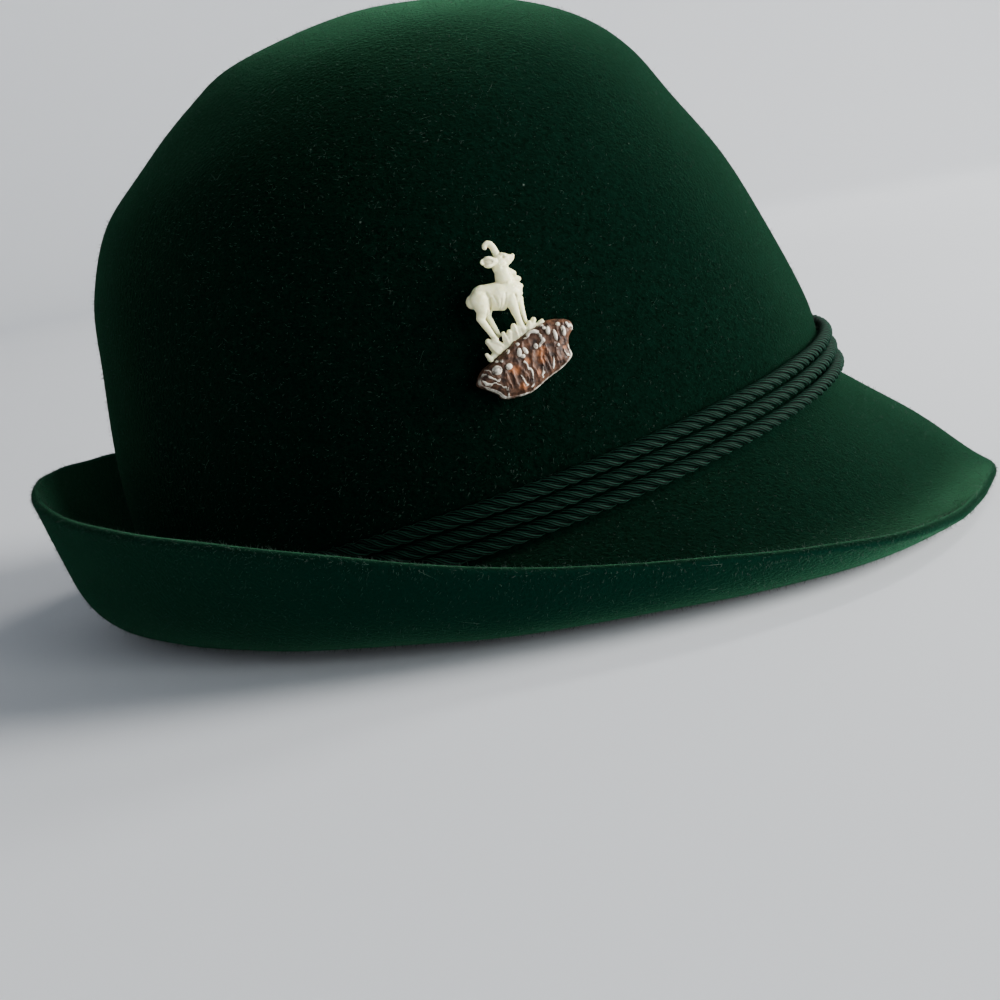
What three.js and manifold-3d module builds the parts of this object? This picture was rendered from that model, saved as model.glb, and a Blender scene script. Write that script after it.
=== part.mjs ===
// A Tyrolean hat of dark green velour felt. Crown and brim are one blocked piece of felt. The brim
// is turned up round the back and sides and down over the eyes. Three twisted cords lie round the
// foot of the crown, and a brooch with a carved chamois is pinned to the wearer's right side.
//
// Hat frame: the plane where crown and brim meet is z = 0, +z is up, the front faces -y and the
// wearer's right side faces -x. The hat is then tilted until it stands on its own brim.
// Lengths are in millimetres and angles in degrees.

import * as THREE from "three";
import { ConvexGeometry } from "three/addons/geometries/ConvexGeometry.js";
import { mergeVertices } from "three/addons/utils/BufferGeometryUtils.js";
import Module from "manifold-3d";

const wasm = await Module();
wasm.setup();

// Felt body
const CROWN_LENGTH = 204; // outside, front to back at the foot
const CROWN_WIDTH = 168.6; // outside, side to side at the foot
const CROWN_HEIGHT = 137.5;
const BRIM_WIDTH = 52; // along the felt, from the foot of the crown to the cut edge
const FELT = 2.8; // thickness of the felt
const FLATTENING = 0.6; // how far the felt is pressed flat where the hat stands

// Cords
const CORD_DIAMETER = 4.2;
const CORD_SPACING = 0.3; // clear space between neighbouring cords
const CORD_CLEARANCE = 0.3; // clear space between cord and felt
const CORD_RISE = 1.2; // from the foot of the crown up to the lowest cord
const CORD_JOINT = 0.3; // between the two ends of a cord, on the wearer's left

// Brooch
const BROOCH_RISE = 42.4; // middle of the burr above the foot of the crown
const BROOCH_AROUND = 84.5; // from the front towards the wearer's right side
const BROOCH_CLEARANCE = 0.3;
const BURR_LENGTH = 26.5;
const BURR_HEIGHT = 15;
const BURR_THICKNESS = 6.5;
const BURR_ROUNDING = 1.4;
const CHAMOIS_HEIGHT = 25.4; // from the foot of the rocks to the top of the horns
const CHAMOIS_FOOT = 4.4; // above the middle of the burr
const CHAMOIS_OUT = 3.5; // middle plane of the figure in front of the burr's back
const CHAMOIS_FLATNESS = 0.8; // depth of the carving as a share of a full round
const POST_DIAMETER = 1.2;
const POST_CLEARANCE = 0.3;
const POST_IN_BURR = 3;
const CLUTCH_DIAMETER = 11;
const CLUTCH_THICKNESS = 3.2;
const CLUTCH_CLEARANCE = 0.7; // clears the hollow curve of the felt behind it
const CLUTCH_BACK = 0.7; // flat part of the clutch's back, as a share of its diameter

// Crown sections from the foot to the top: height as a share of the crown height, reach to the
// front and back as shares of half the crown length, and half the width as a share of its own.
const CROWN_SECTIONS = [
  { height: 0.0, front: 0.99, back: 1.02, side: 1.0 },
  { height: 0.07, front: 0.976, back: 1.026, side: 0.994 },
  { height: 0.16, front: 0.976, back: 1.03, side: 0.985 },
  { height: 0.33, front: 0.93, back: 1.0, side: 0.955 },
  { height: 0.5, front: 0.868, back: 0.948, side: 0.905 },
  { height: 0.64, front: 0.786, back: 0.896, side: 0.84 },
  { height: 0.76, front: 0.712, back: 0.8, side: 0.75 },
  { height: 0.85, front: 0.605, back: 0.644, side: 0.64 },
  { height: 0.93, front: 0.422, back: 0.475, side: 0.48 },
  { height: 0.982, front: 0.191, back: 0.308, side: 0.26 },
  { height: 1.0, front: 0.0, back: 0.0, side: 0.0 },
];

// The crown is widest this share of its half length behind its middle at the foot, and at the
// middle at the top.
const WIDEST_BACK = 0.04;

// Brim stations every 30 degrees from the front to the back, alike on both sides: width as a
// share of the brim width, the slope where it leaves the crown, the slope at its edge, and the
// share of the width at which half of the bend between them is done.
const BRIM_STATIONS = [
  { width: 1.06, root: -46, edge: -70, bend: 0.78 },
  { width: 1.0, root: -57, edge: 22, bend: 0.85 },
  { width: 1.06, root: -51, edge: 53, bend: 0.745 },
  { width: 0.915, root: -41, edge: 76, bend: 0.617 },
  { width: 0.98, root: -25, edge: 78, bend: 0.38 },
  { width: 1.025, root: -3, edge: 81, bend: 0.27 },
  { width: 1.08, root: 2, edge: 88, bend: 0.25 },
];
const BEND_LENGTH = 0.7; // share of the width over which the brim bends
const STEEPEST_TILT = Math.PI / 6; // of the standing hat, to either side

// Outline of the burr: shares of its length towards the hat's front, and of its height upwards.
const BURR_OUTLINE = [
  { along: -0.49, up: -0.11 },
  { along: -0.41, up: 0.04 },
  { along: -0.3, up: 0.115 },
  { along: -0.06, up: 0.32 },
  { along: 0.065, up: 0.38 },
  { along: 0.245, up: 0.43 },
  { along: 0.375, up: 0.395 },
  { along: 0.48, up: 0.31 },
  { along: 0.5, up: 0.18 },
  { along: 0.435, up: 0.06 },
  { along: 0.405, up: -0.08 },
  { along: 0.4, up: -0.24 },
  { along: 0.285, up: -0.36 },
  { along: 0.14, up: -0.435 },
  { along: -0.02, up: -0.535 },
  { along: -0.115, up: -0.56 },
  { along: -0.3, up: -0.51 },
  { along: -0.355, up: -0.39 },
  { along: -0.43, up: -0.27 },
  { along: -0.48, up: -0.2 },
];

// The carved figure as tapered limbs with round ends. All columns are shares of its height:
// along (towards the hat's front), up, out (from its middle plane) and radius, at both ends.
const CHAMOIS_LIMBS = [
  { name: "rump", from: [-0.25, 0.48, 0, 0.085], to: [-0.19, 0.48, 0, 0.11] },
  { name: "belly", from: [-0.17, 0.46, 0, 0.125], to: [0.0, 0.43, 0, 0.135] },
  { name: "chest", from: [0.03, 0.44, 0, 0.135], to: [0.09, 0.45, 0, 0.105] },
  { name: "tail", from: [-0.31, 0.49, 0, 0.035], to: [-0.335, 0.475, 0, 0.025] },
  { name: "neck", from: [0.07, 0.53, 0, 0.11], to: [0.075, 0.67, 0, 0.08] },
  { name: "nape", from: [0.075, 0.67, 0, 0.08], to: [0.09, 0.75, 0, 0.062] },
  { name: "muzzle", from: [0.1, 0.755, 0, 0.06], to: [0.19, 0.742, 0, 0.042] },
  { name: "near_ear", from: [0.05, 0.765, 0.05, 0.035], to: [-0.05, 0.765, 0.07, 0.046] },
  { name: "horn_root", from: [0.075, 0.79, 0, 0.038], to: [0.065, 0.88, 0, 0.035] },
  { name: "horn_bow", from: [0.065, 0.88, 0, 0.035], to: [0.035, 0.928, 0, 0.032] },
  { name: "horn_hook", from: [0.035, 0.928, 0, 0.032], to: [-0.015, 0.912, 0, 0.024] },
  { name: "mane_top", from: [0.16, 0.6, 0, 0.034], to: [0.175, 0.585, 0, 0.028] },
  { name: "mane_middle", from: [0.165, 0.525, 0, 0.034], to: [0.18, 0.51, 0, 0.028] },
  { name: "mane_foot", from: [0.17, 0.455, 0, 0.032], to: [0.18, 0.44, 0, 0.026] },
  { name: "mane_low", from: [0.145, 0.395, 0, 0.03], to: [0.157, 0.38, 0, 0.024] },
  { name: "near_thigh", from: [-0.22, 0.43, 0.03, 0.09], to: [-0.235, 0.345, 0.04, 0.062] },
  { name: "near_hock", from: [-0.235, 0.345, 0.04, 0.062], to: [-0.255, 0.285, 0.04, 0.052] },
  { name: "near_hind_shin", from: [-0.255, 0.285, 0.04, 0.052], to: [-0.18, 0.09, 0.03, 0.04] },
  { name: "far_hind_leg", from: [-0.19, 0.3, -0.04, 0.04], to: [-0.145, 0.09, -0.03, 0.03] },
  { name: "near_shoulder", from: [0.07, 0.36, 0.03, 0.075], to: [0.05, 0.2, 0.04, 0.036] },
  { name: "near_fore_shin", from: [0.05, 0.2, 0.04, 0.036], to: [0.055, 0.1, 0.03, 0.032] },
  { name: "far_fore_leg", from: [0.12, 0.33, -0.03, 0.045], to: [0.1, 0.12, -0.03, 0.032] },
  { name: "rock_left", from: [-0.3, -0.05, 0, 0.045], to: [-0.2, 0.02, 0, 0.06] },
  { name: "rock_middle", from: [-0.2, 0.02, 0, 0.06], to: [0.06, 0.08, 0, 0.05] },
  { name: "rock_right", from: [0.06, 0.08, 0, 0.05], to: [0.25, 0.085, 0, 0.032] },
  { name: "tuft_left", from: [-0.24, 0.01, 0.03, 0.045], to: [-0.29, 0.075, 0.04, 0.022] },
  { name: "tuft_low", from: [-0.31, -0.07, 0.02, 0.036], to: [-0.345, -0.045, 0.03, 0.02] },
  { name: "tuft_middle", from: [-0.1, 0.03, 0.03, 0.045], to: [-0.1, 0.085, 0.05, 0.024] },
  { name: "tuft_fore", from: [-0.02, 0.06, 0.03, 0.045], to: [-0.015, 0.12, 0.05, 0.022] },
  { name: "tuft_right", from: [0.16, 0.08, 0, 0.034], to: [0.195, 0.12, 0.01, 0.02] },
];

// Fineness of the meshes
const COLUMNS = 56;
const CROWN_RINGS = 16;
const BRIM_RINGS = 10;
const SLOPE_STEPS = 6; // steps of the brim's curve between two rings
const CORD_SIDES = 8;
const CORD_STEPS = 64;
const BURR_STEPS = 2; // points of the burr's outline for each row of its table
const BEVEL_STEPS = 2;
const LIMB_SIDES = 6;
const LIMB_RINGS = 4;
const PIN_SIDES = 12;
const NORMAL_STEP = 0.01; // half the span over which a normal is taken
const MERGE_DISTANCE = 1e-4;
const HALVINGS = 40;
const CUTTER_SIZE = 4; // of a cutting block, as a share of the length of what it cuts

const TURN = 2 * Math.PI;
const halfLength = CROWN_LENGTH / 2;
const halfWidth = CROWN_WIDTH / 2;

// Value of a column at a place along a table with one extra row at each end, smooth through
// every row.
function smooth(rows, column, place) {
  const row = Math.min(Math.floor(place), rows.length - 4);
  const u = place - row;
  const [a, b, c, d] = [0, 1, 2, 3].map((k) => rows[row + k][column]);
  const curve = (-a + 3 * b - 3 * c + d) * u ** 3 + (2 * a - 5 * b + 4 * c - d) * u ** 2;
  return 0.5 * (curve + (c - a) * u + 2 * b);
}

// The rows before the foot and beyond the top: straight on below, mirrored above.
const [foot, second] = CROWN_SECTIONS;
const below = Object.fromEntries(Object.keys(foot).map((key) => [key, 2 * foot[key] - second[key]]));
const last = CROWN_SECTIONS.at(-2);
const beyond = { height: last.height, front: -last.front, back: -last.back, side: -last.side };
const crownRows = [below, ...CROWN_SECTIONS, beyond];
const brimRows = [BRIM_STATIONS[1], ...BRIM_STATIONS, BRIM_STATIONS.at(-2)];
const TOP = CROWN_SECTIONS.length - 1;

// Point on the outside of the crown: place runs from 0 at the foot to TOP, and the angle around
// from 0 at the front towards the wearer's right side.
function crownPoint(place, around) {
  const height = smooth(crownRows, "height", place);
  const middle = halfLength * WIDEST_BACK * (1 - height ** 2);
  const side = smooth(crownRows, "side", place) * halfWidth;
  const front = smooth(crownRows, "front", place) * halfLength + middle;
  const back = smooth(crownRows, "back", place) * halfLength - middle;
  const reach = Math.cos(around) > 0 ? front : back;
  const x = -side * Math.sin(around);
  return new THREE.Vector3(x, middle - reach * Math.cos(around), height * CROWN_HEIGHT);
}

// Outward normal of the crown there, from two short steps across the surface.
function crownNormal(place, around) {
  const step = NORMAL_STEP;
  const up = crownPoint(place + step, around).sub(crownPoint(Math.max(place - step, 0), around));
  const on = crownPoint(place, around + step).sub(crownPoint(place, around - step));
  return up.cross(on).normalize();
}

// Place on the crown table at a height in millimetres, found by halving.
function placeAtHeight(height) {
  let [low, high] = [0, TOP];
  for (let k = 0; k < HALVINGS; k++) {
    const middle = (low + high) / 2;
    if (smooth(crownRows, "height", middle) * CROWN_HEIGHT < height) low = middle;
    else high = middle;
  }
  return low;
}

// One line of the brim from the crown outwards. The slope turns from the root angle to the edge
// angle in a smooth bend, and the felt follows it. Each ring gives its top and bottom point.
function brimLine(around) {
  const mirrored = Math.abs(THREE.MathUtils.euclideanModulo(around + Math.PI, TURN) - Math.PI);
  const place = (mirrored / Math.PI) * (BRIM_STATIONS.length - 1);
  const width = smooth(brimRows, "width", place) * BRIM_WIDTH;
  const root = THREE.MathUtils.degToRad(smooth(brimRows, "root", place));
  const edge = THREE.MathUtils.degToRad(smooth(brimRows, "edge", place));
  const bend = smooth(brimRows, "bend", place);
  const start = crownPoint(0, around);
  const outward = crownNormal(0, around).setZ(0).normalize();
  const steps = BRIM_RINGS * SLOPE_STEPS;
  const slopeAt = (u) => {
    const done = THREE.MathUtils.smoothstep(u, bend - BEND_LENGTH / 2, bend + BEND_LENGTH / 2);
    return root + (edge - root) * done;
  };
  const rings = [];
  let [out, rise] = [0, 0];
  for (let k = 0; k <= steps; k++) {
    if (k % SLOPE_STEPS === 0) {
      const slope = slopeAt(k / steps);
      const top = start.clone().addScaledVector(outward, out).setZ(rise);
      const bottom = top.clone().addScaledVector(outward, FELT * Math.sin(slope));
      bottom.z -= FELT * Math.cos(slope);
      rings.push({ top, bottom, slope, start, outward });
    }
    const halfway = slopeAt((k + 0.5) / steps);
    out += (width / steps) * Math.cos(halfway);
    rise += (width / steps) * Math.sin(halfway);
  }
  return rings;
}

// Closed body through rings of points, each ring running the same way, with a pole at each end.
function closedBody(firstPole, rings, lastPole) {
  const count = rings[0].length;
  const points = [firstPole, ...rings.flat(), lastPole];
  const faces = [];
  for (let i = 0; i < count; i++) {
    const j = (i + 1) % count;
    faces.push(0, 1 + i, 1 + j);
    for (let ring = 0; ring < rings.length - 1; ring++) {
      const a = 1 + ring * count;
      const b = a + count;
      faces.push(a + i, b + i, b + j, a + i, b + j, a + j);
    }
    const end = 1 + (rings.length - 1) * count;
    faces.push(points.length - 1, end + j, end + i);
  }
  const geometry = new THREE.BufferGeometry().setFromPoints(points);
  geometry.setIndex(faces);
  return geometry;
}

function solidFrom(geometry) {
  const bare = geometry.clone();
  bare.deleteAttribute("normal");
  bare.deleteAttribute("uv");
  const merged = mergeVertices(bare, MERGE_DISTANCE);
  const vertProperties = Float32Array.from(merged.attributes.position.array);
  const triVerts = Uint32Array.from(merged.index.array);
  return new wasm.Manifold(new wasm.Mesh({ numProp: 3, vertProperties, triVerts }));
}

function geometryFrom(solid) {
  const { vertProperties, triVerts } = solid.getMesh();
  const geometry = new THREE.BufferGeometry();
  geometry.setAttribute("position", new THREE.BufferAttribute(vertProperties, 3));
  geometry.setIndex(new THREE.BufferAttribute(triVerts, 1));
  geometry.computeVertexNormals();
  return geometry;
}

// The felt: down the outside of the crown, out along the top of the brim, back along its
// underside, round the inner corner and up the inside of the crown.
function feltShell() {
  const angles = Array.from({ length: COLUMNS }, (_, i) => (-i / COLUMNS) * TURN);
  const crownPlaces = Array.from({ length: CROWN_RINGS }, (_, k) => TOP * (1 - (k + 1) / CROWN_RINGS));
  const outside = crownPlaces.map((place) => angles.map((around) => crownPoint(place, around)));
  const inside = crownPlaces.map((place) =>
    angles.map((around) =>
      crownPoint(place, around).addScaledVector(crownNormal(place, around), -FELT),
    ),
  );
  const lines = angles.map(brimLine);
  const ring = (k, side) => lines.map((line) => line[k][side]);
  const numbers = Array.from({ length: BRIM_RINGS + 1 }, (_, k) => k);
  const top = numbers.slice(1).map((k) => ring(k, "top"));
  const bottom = numbers.map((k) => ring(k, "bottom")).reverse();
  const corner = lines.map(([{ start, outward, slope }]) => {
    const turned = (slope - Math.PI / 2) / 2;
    const point = start.clone().addScaledVector(outward, FELT * Math.sin(turned));
    return point.setZ(-FELT * Math.cos(turned));
  });
  const peak = crownPoint(TOP, 0);
  const underPeak = peak.clone().setZ(peak.z - FELT);
  const rings = [...outside, ...top, ...bottom, corner, ...inside.reverse()];
  return closedBody(peak, rings, underPeak);
}

// Tilt at which the front of the brim and the rest of it reach equally low, found by halving.
function standingTilt(points) {
  const lowest = (side, tilt) => {
    const heights = side.map((p) => p.z * Math.cos(tilt) - p.y * Math.sin(tilt));
    return heights.reduce((least, height) => Math.min(least, height), Infinity);
  };
  const atFront = points.filter((p) => p.y < -halfLength);
  const behind = points.filter((p) => p.y > 0);
  let [low, high] = [-STEEPEST_TILT, STEEPEST_TILT];
  for (let k = 0; k < HALVINGS; k++) {
    const middle = (low + high) / 2;
    // Tilting lifts the front, so a front that is still the lower one asks for more.
    if (lowest(atFront, middle) < lowest(behind, middle)) low = middle;
    else high = middle;
  }
  return (low + high) / 2;
}

// Centre line of a cord, at its own level all the way round and clear of the crown's slope.
class CordLine extends THREE.Curve {
  constructor(level) {
    super();
    this.place = placeAtHeight(level);
  }

  getPoint(share, target = new THREE.Vector3()) {
    const halfJoint = CORD_JOINT / 2 / halfWidth;
    const around = -TURN / 4 + halfJoint + share * (TURN - 2 * halfJoint);
    const sideways = crownNormal(this.place, around).setZ(0);
    const offset = (CORD_DIAMETER / 2 + CORD_CLEARANCE) / sideways.lengthSq();
    return target.copy(crownPoint(this.place, around)).addScaledVector(sideways, offset);
  }
}

function cord(level) {
  const section = new THREE.Shape();
  section.absarc(0, 0, CORD_DIAMETER / 2, 0, TURN);
  return new THREE.ExtrudeGeometry(section, {
    steps: CORD_STEPS,
    curveSegments: CORD_SIDES / 2,
    bevelEnabled: false,
    extrudePath: new CordLine(level),
  });
}

// The burr in the brooch frame: x towards the hat's front, y up the crown, z away from it, and
// z = 0 at the burr's flat back. It may be grown on every side, to cut what stands on it.
function burrBlock(grow) {
  const points = BURR_OUTLINE.map(
    ({ along, up }) => new THREE.Vector3(along * BURR_LENGTH, up * BURR_HEIGHT, 0),
  );
  const outline = new THREE.CatmullRomCurve3(points, true).getPoints(points.length * BURR_STEPS);
  const shape = new THREE.Shape(outline.slice(1).map((p) => new THREE.Vector2(p.x, p.y)));
  const block = new THREE.ExtrudeGeometry(shape, {
    depth: BURR_THICKNESS,
    bevelThickness: BURR_ROUNDING + grow,
    bevelSize: BURR_ROUNDING / 2 + grow,
    bevelOffset: -BURR_ROUNDING / 2,
    bevelSegments: BEVEL_STEPS,
  });
  block.translate(0, 0, -BURR_ROUNDING);
  return solidFrom(block);
}

// A round rod along z from one height to another, for holes.
function rod(diameter, from, to) {
  const cylinder = new THREE.CylinderGeometry(diameter / 2, diameter / 2, to - from, PIN_SIDES);
  cylinder.rotateX(Math.PI / 2).translate(0, 0, (from + to) / 2);
  return solidFrom(cylinder);
}

function burr() {
  const size = CUTTER_SIZE * BURR_LENGTH;
  const behind = new THREE.BoxGeometry(size, size, size).translate(0, 0, -size / 2);
  const bore = rod(POST_DIAMETER + 2 * POST_CLEARANCE, -BURR_ROUNDING, POST_IN_BURR + POST_CLEARANCE);
  return geometryFrom(burrBlock(0).subtract(solidFrom(behind)).subtract(bore));
}

function limb({ from, to }) {
  const points = [from, to].flatMap(([along, up, out, radius]) => {
    const ball = new THREE.SphereGeometry(radius * CHAMOIS_HEIGHT, LIMB_SIDES, LIMB_RINGS);
    ball.translate(along * CHAMOIS_HEIGHT, up * CHAMOIS_HEIGHT, out * CHAMOIS_HEIGHT);
    const { position } = ball.attributes;
    return Array.from({ length: position.count }, (_, i) =>
      new THREE.Vector3().fromBufferAttribute(position, i),
    );
  });
  return solidFrom(new ConvexGeometry(points));
}

// The carved figure, flattened a little and cut clear of the burr it stands on.
function chamois() {
  const flatten = new THREE.Matrix4()
    .makeTranslation(0, CHAMOIS_FOOT, CHAMOIS_OUT)
    .scale(new THREE.Vector3(1, 1, CHAMOIS_FLATNESS));
  const figure = CHAMOIS_LIMBS.map(limb).reduce((whole, piece) => whole.add(piece));
  const placed = solidFrom(geometryFrom(figure).applyMatrix4(flatten));
  return geometryFrom(placed.subtract(burrBlock(BROOCH_CLEARANCE)));
}

// Post and clutch in the brooch frame: the post starts in the burr, and the clutch lies against
// the inside of the felt.
function pin() {
  const [post, clutch] = [POST_DIAMETER / 2, CLUTCH_DIAMETER / 2];
  const face = -BROOCH_CLEARANCE - FELT - CLUTCH_CLEARANCE;
  const back = face - CLUTCH_THICKNESS;
  const profile = [
    [0, back],
    [clutch * CLUTCH_BACK, back],
    [clutch, back + CLUTCH_THICKNESS / 2],
    [clutch, face],
    [post, face],
    [post, POST_IN_BURR],
    [0, POST_IN_BURR],
  ];
  const points = profile.map(([radius, height]) => new THREE.Vector2(radius, height));
  return new THREE.LatheGeometry(points, PIN_SIDES).rotateX(Math.PI / 2);
}

const finish = (color, roughness, metalness) =>
  new THREE.MeshStandardMaterial({ color, roughness, metalness });
const feltFinish = finish(0x143d28, 0.95, 0);
const cordFinish = finish(0x35543f, 0.55, 0);
const burrFinish = finish(0x6b4a35, 0.6, 0);
const carvedFinish = finish(0xe6e2d4, 0.5, 0);
const metalFinish = finish(0xb9b4a4, 0.35, 1);

const piece = (name, geometry, material) => {
  const mesh = new THREE.Mesh(geometry, material);
  mesh.name = name;
  return mesh;
};

// The brooch sits square on the crown.
const brooch = new THREE.Group();
const broochPlace = placeAtHeight(BROOCH_RISE);
const broochAround = THREE.MathUtils.degToRad(BROOCH_AROUND);
const outward = crownNormal(broochPlace, broochAround);
const forward = new THREE.Vector3(0, 0, 1).cross(outward).normalize();
const upward = outward.clone().cross(forward);
brooch.setRotationFromMatrix(new THREE.Matrix4().makeBasis(forward, upward, outward));
brooch.position.copy(crownPoint(broochPlace, broochAround));
brooch.position.addScaledVector(outward, BROOCH_CLEARANCE);
brooch.updateMatrix();
brooch.add(
  piece("brooch_burr", burr(), burrFinish),
  piece("brooch_chamois", chamois(), carvedFinish),
  piece("brooch_pin", pin(), metalFinish),
);

// The hat tilts about x until it stands, and its box is centred over the origin.
const hat = new THREE.Group();
const shell = feltShell();
const { position } = shell.attributes;
const shellPoints = Array.from({ length: position.count }, (_, i) =>
  new THREE.Vector3().fromBufferAttribute(position, i),
);
hat.rotation.x = -standingTilt(shellPoints);
hat.updateMatrix();
const standing = new THREE.Box3().setFromPoints(shellPoints.map((p) => p.clone().applyMatrix4(hat.matrix)));
hat.position.set(0, -(standing.min.y + standing.max.y) / 2, -standing.min.z - FLATTENING);
hat.updateMatrix();

// The felt has a hole for the post, and is pressed flat by the floor.
const floorSize = CUTTER_SIZE * CROWN_LENGTH;
const floor = new THREE.BoxGeometry(floorSize, floorSize, floorSize).translate(0, 0, -floorSize / 2);
floor.applyMatrix4(hat.matrix.clone().invert());
const holeReach = FELT + 2 * BROOCH_CLEARANCE;
const hole = rod(POST_DIAMETER + 2 * POST_CLEARANCE, -holeReach, 0);
const holeInHat = solidFrom(geometryFrom(hole).applyMatrix4(brooch.matrix));
const felt = solidFrom(shell).subtract(holeInHat).subtract(solidFrom(floor));

hat.add(piece("felt_body", geometryFrom(felt), feltFinish), brooch);
["cord_bottom", "cord_middle", "cord_top"].forEach((name, number) => {
  const level = CORD_RISE + CORD_DIAMETER / 2 + number * (CORD_DIAMETER + CORD_SPACING);
  hat.add(piece(name, cord(level), cordFinish));
});

const part = new THREE.Group();
part.add(hat);

export default part;
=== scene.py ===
"""Looks of a Tyrolean hat: velour felt, three twisted cords and a brooch with a carved chamois."""

import math

import bpy
import numpy as np
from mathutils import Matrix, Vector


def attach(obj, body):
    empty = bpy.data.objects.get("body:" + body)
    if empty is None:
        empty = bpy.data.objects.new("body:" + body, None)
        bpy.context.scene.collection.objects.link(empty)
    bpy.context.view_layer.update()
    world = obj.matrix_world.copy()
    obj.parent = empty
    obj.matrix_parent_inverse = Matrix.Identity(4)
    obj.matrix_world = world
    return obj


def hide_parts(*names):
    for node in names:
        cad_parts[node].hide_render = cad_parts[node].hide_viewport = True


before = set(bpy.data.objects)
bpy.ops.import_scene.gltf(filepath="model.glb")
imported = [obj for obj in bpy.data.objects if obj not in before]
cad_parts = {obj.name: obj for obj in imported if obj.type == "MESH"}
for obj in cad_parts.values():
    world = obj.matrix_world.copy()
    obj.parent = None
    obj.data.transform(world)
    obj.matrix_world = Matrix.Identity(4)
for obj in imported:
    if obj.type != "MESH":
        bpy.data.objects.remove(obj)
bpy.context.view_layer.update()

# The studio: a pale paper floor that turns up into a round backdrop far from the hat. The main
# soft light stands in front of the hat, a weak one low beside the camera, and one lights the
# backdrop. The camera looks at the wearer's right side, leaning with the photograph.
LENS_MM = 55.41
SENSOR_MM = 36.0
CAMERA_PLACE = (-0.44332378, 0.06193519, 0.10298944)
CAMERA_TURN_DEG = (78.517881, 9.336917, -98.990945)
CAMERA_NEAR = 0.02
CAMERA_FAR = 30
FLOOR_START = 0.05
FLOOR_RADIUS = 2.6
FLOOR_RINGS = 12
FLOOR_COLUMNS = 96
FLOOR_BELOW = 0.0002
BACKDROP_BEND = 1.0
BACKDROP_HEIGHT = 3.0
PAPER_PATCHES = 3.0
PAPER_DARK = (0.71, 0.73, 0.77, 1)
PAPER_LIGHT = (0.74, 0.76, 0.79, 1)
AIR_COLOUR = (0.74, 0.86, 1.0, 1)
AIR_STRENGTH = 0.15
# Lights: name, place, the point that each is turned to, diameter, power in watts and colour.
LIGHTS = (
    ("front_light", (-0.38, -1.5, 0.48), (0, -0.02, 0.08), 0.9, 74, (1.0, 0.985, 0.95)),
    ("low_light", (-1.3, -0.9, 0.3), (0, 0, 0.05), 0.7, 15, (0.95, 1.0, 1.0)),
    ("wall_light", (1.3, -1.5, 1.7), (3.0, -0.2, 0.2), 1.2, 60, (1.0, 0.985, 0.95)),
)


def studio_floor():
    """Round floor: flat out to the bend, then a quarter circle up, then a straight wall."""
    turn = np.linspace(0, 2 * np.pi, FLOOR_COLUMNS, endpoint=False)
    flat = np.linspace(FLOOR_START, FLOOR_RADIUS, FLOOR_RINGS)
    bend = np.linspace(0, np.pi / 2, FLOOR_RINGS)[1:]
    radius = np.concatenate([flat, FLOOR_RADIUS + BACKDROP_BEND * np.sin(bend)])
    height = np.concatenate([np.zeros(FLOOR_RINGS), BACKDROP_BEND * (1 - np.cos(bend))])
    radius = np.append(radius, radius[-1])
    height = np.append(height, BACKDROP_HEIGHT)
    return np.stack(
        [
            radius[:, None] * np.cos(turn),
            radius[:, None] * np.sin(turn),
            np.repeat(height[:, None], FLOOR_COLUMNS, 1) - FLOOR_BELOW,
        ],
        -1,
    )


def ring_mesh(name, rings, poles=(None, None), along=None, across=None):
    """Closed rings of points (rings, columns, 3) joined by quads, with a fan to each pole given.
    along (one value a ring) and across (one a column, and one more) become the UV map."""
    count, columns = rings.shape[:2]
    points = rings.reshape(-1, 3)
    i, j = np.meshgrid(np.arange(count - 1), np.arange(columns), indexing="ij")
    i, j = i.ravel(), j.ravel()
    on = (j + 1) % columns
    quads = np.stack(
        [i * columns + j, (i + 1) * columns + j, (i + 1) * columns + on, i * columns + on], 1
    )
    faces = quads.tolist()
    here = np.arange(columns)
    after = (here + 1) % columns
    for pole, first, order in ((poles[0], 0, 1), (poles[1], (count - 1) * columns, -1)):
        if pole is None:
            continue
        tip = np.full(columns, len(points))
        points = np.concatenate([points, np.reshape(pole, (1, 3))])
        faces += np.stack([tip, first + here, first + after][::order], 1).tolist()
    mesh = bpy.data.meshes.new(name)
    mesh.from_pydata(points.tolist(), [], faces)
    if along is not None:
        uv = np.zeros((len(mesh.loops), 2), np.float32)
        u = np.stack([along[i], along[i + 1], along[i + 1], along[i]], 1)
        v = np.stack([across[j], across[j], across[j + 1], across[j + 1]], 1)
        uv[: 4 * len(quads)] = np.stack([u.ravel(), v.ravel()], 1)
        mesh.uv_layers.new(name="lay").data.foreach_set("uv", uv.ravel())
    mesh.polygons.foreach_set("use_smooth", np.ones(len(mesh.polygons), bool))
    mesh.update()
    return mesh


def place(name, mesh, material):
    """A new object for a mesh whose points are already in the row frame."""
    mesh.materials.append(material)
    thing = bpy.data.objects.new(name, mesh)
    bpy.context.scene.collection.objects.link(thing)
    return thing


def add_node(tree, kind, inputs, **settings):
    """A shader node with its settings; each input gets a value or another node's output."""
    node = tree.nodes.new("ShaderNode" + kind)
    for key, value in settings.items():
        setattr(node, key, value)
    for key, value in inputs.items():
        if isinstance(value, bpy.types.NodeSocket):
            tree.links.new(value, node.inputs[key])
        else:
            node.inputs[key].default_value = value
    return node


def new_material(name, **sockets):
    """A material with one Principled shader, and plain values set on the shader's sockets."""
    material = bpy.data.materials.new(name)
    material.use_nodes = True
    shader = material.node_tree.nodes["Principled BSDF"]
    for key, value in sockets.items():
        shader.inputs[key.replace("_", " ")].default_value = value
    return material, material.node_tree, shader


def blend_colours(tree, factor, first, second):
    """Mix of two colours by a factor, each a value or a socket."""
    mix = add_node(tree, "Mix", {0: factor, 6: first, 7: second}, data_type="RGBA")
    return mix.outputs[2]


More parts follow.
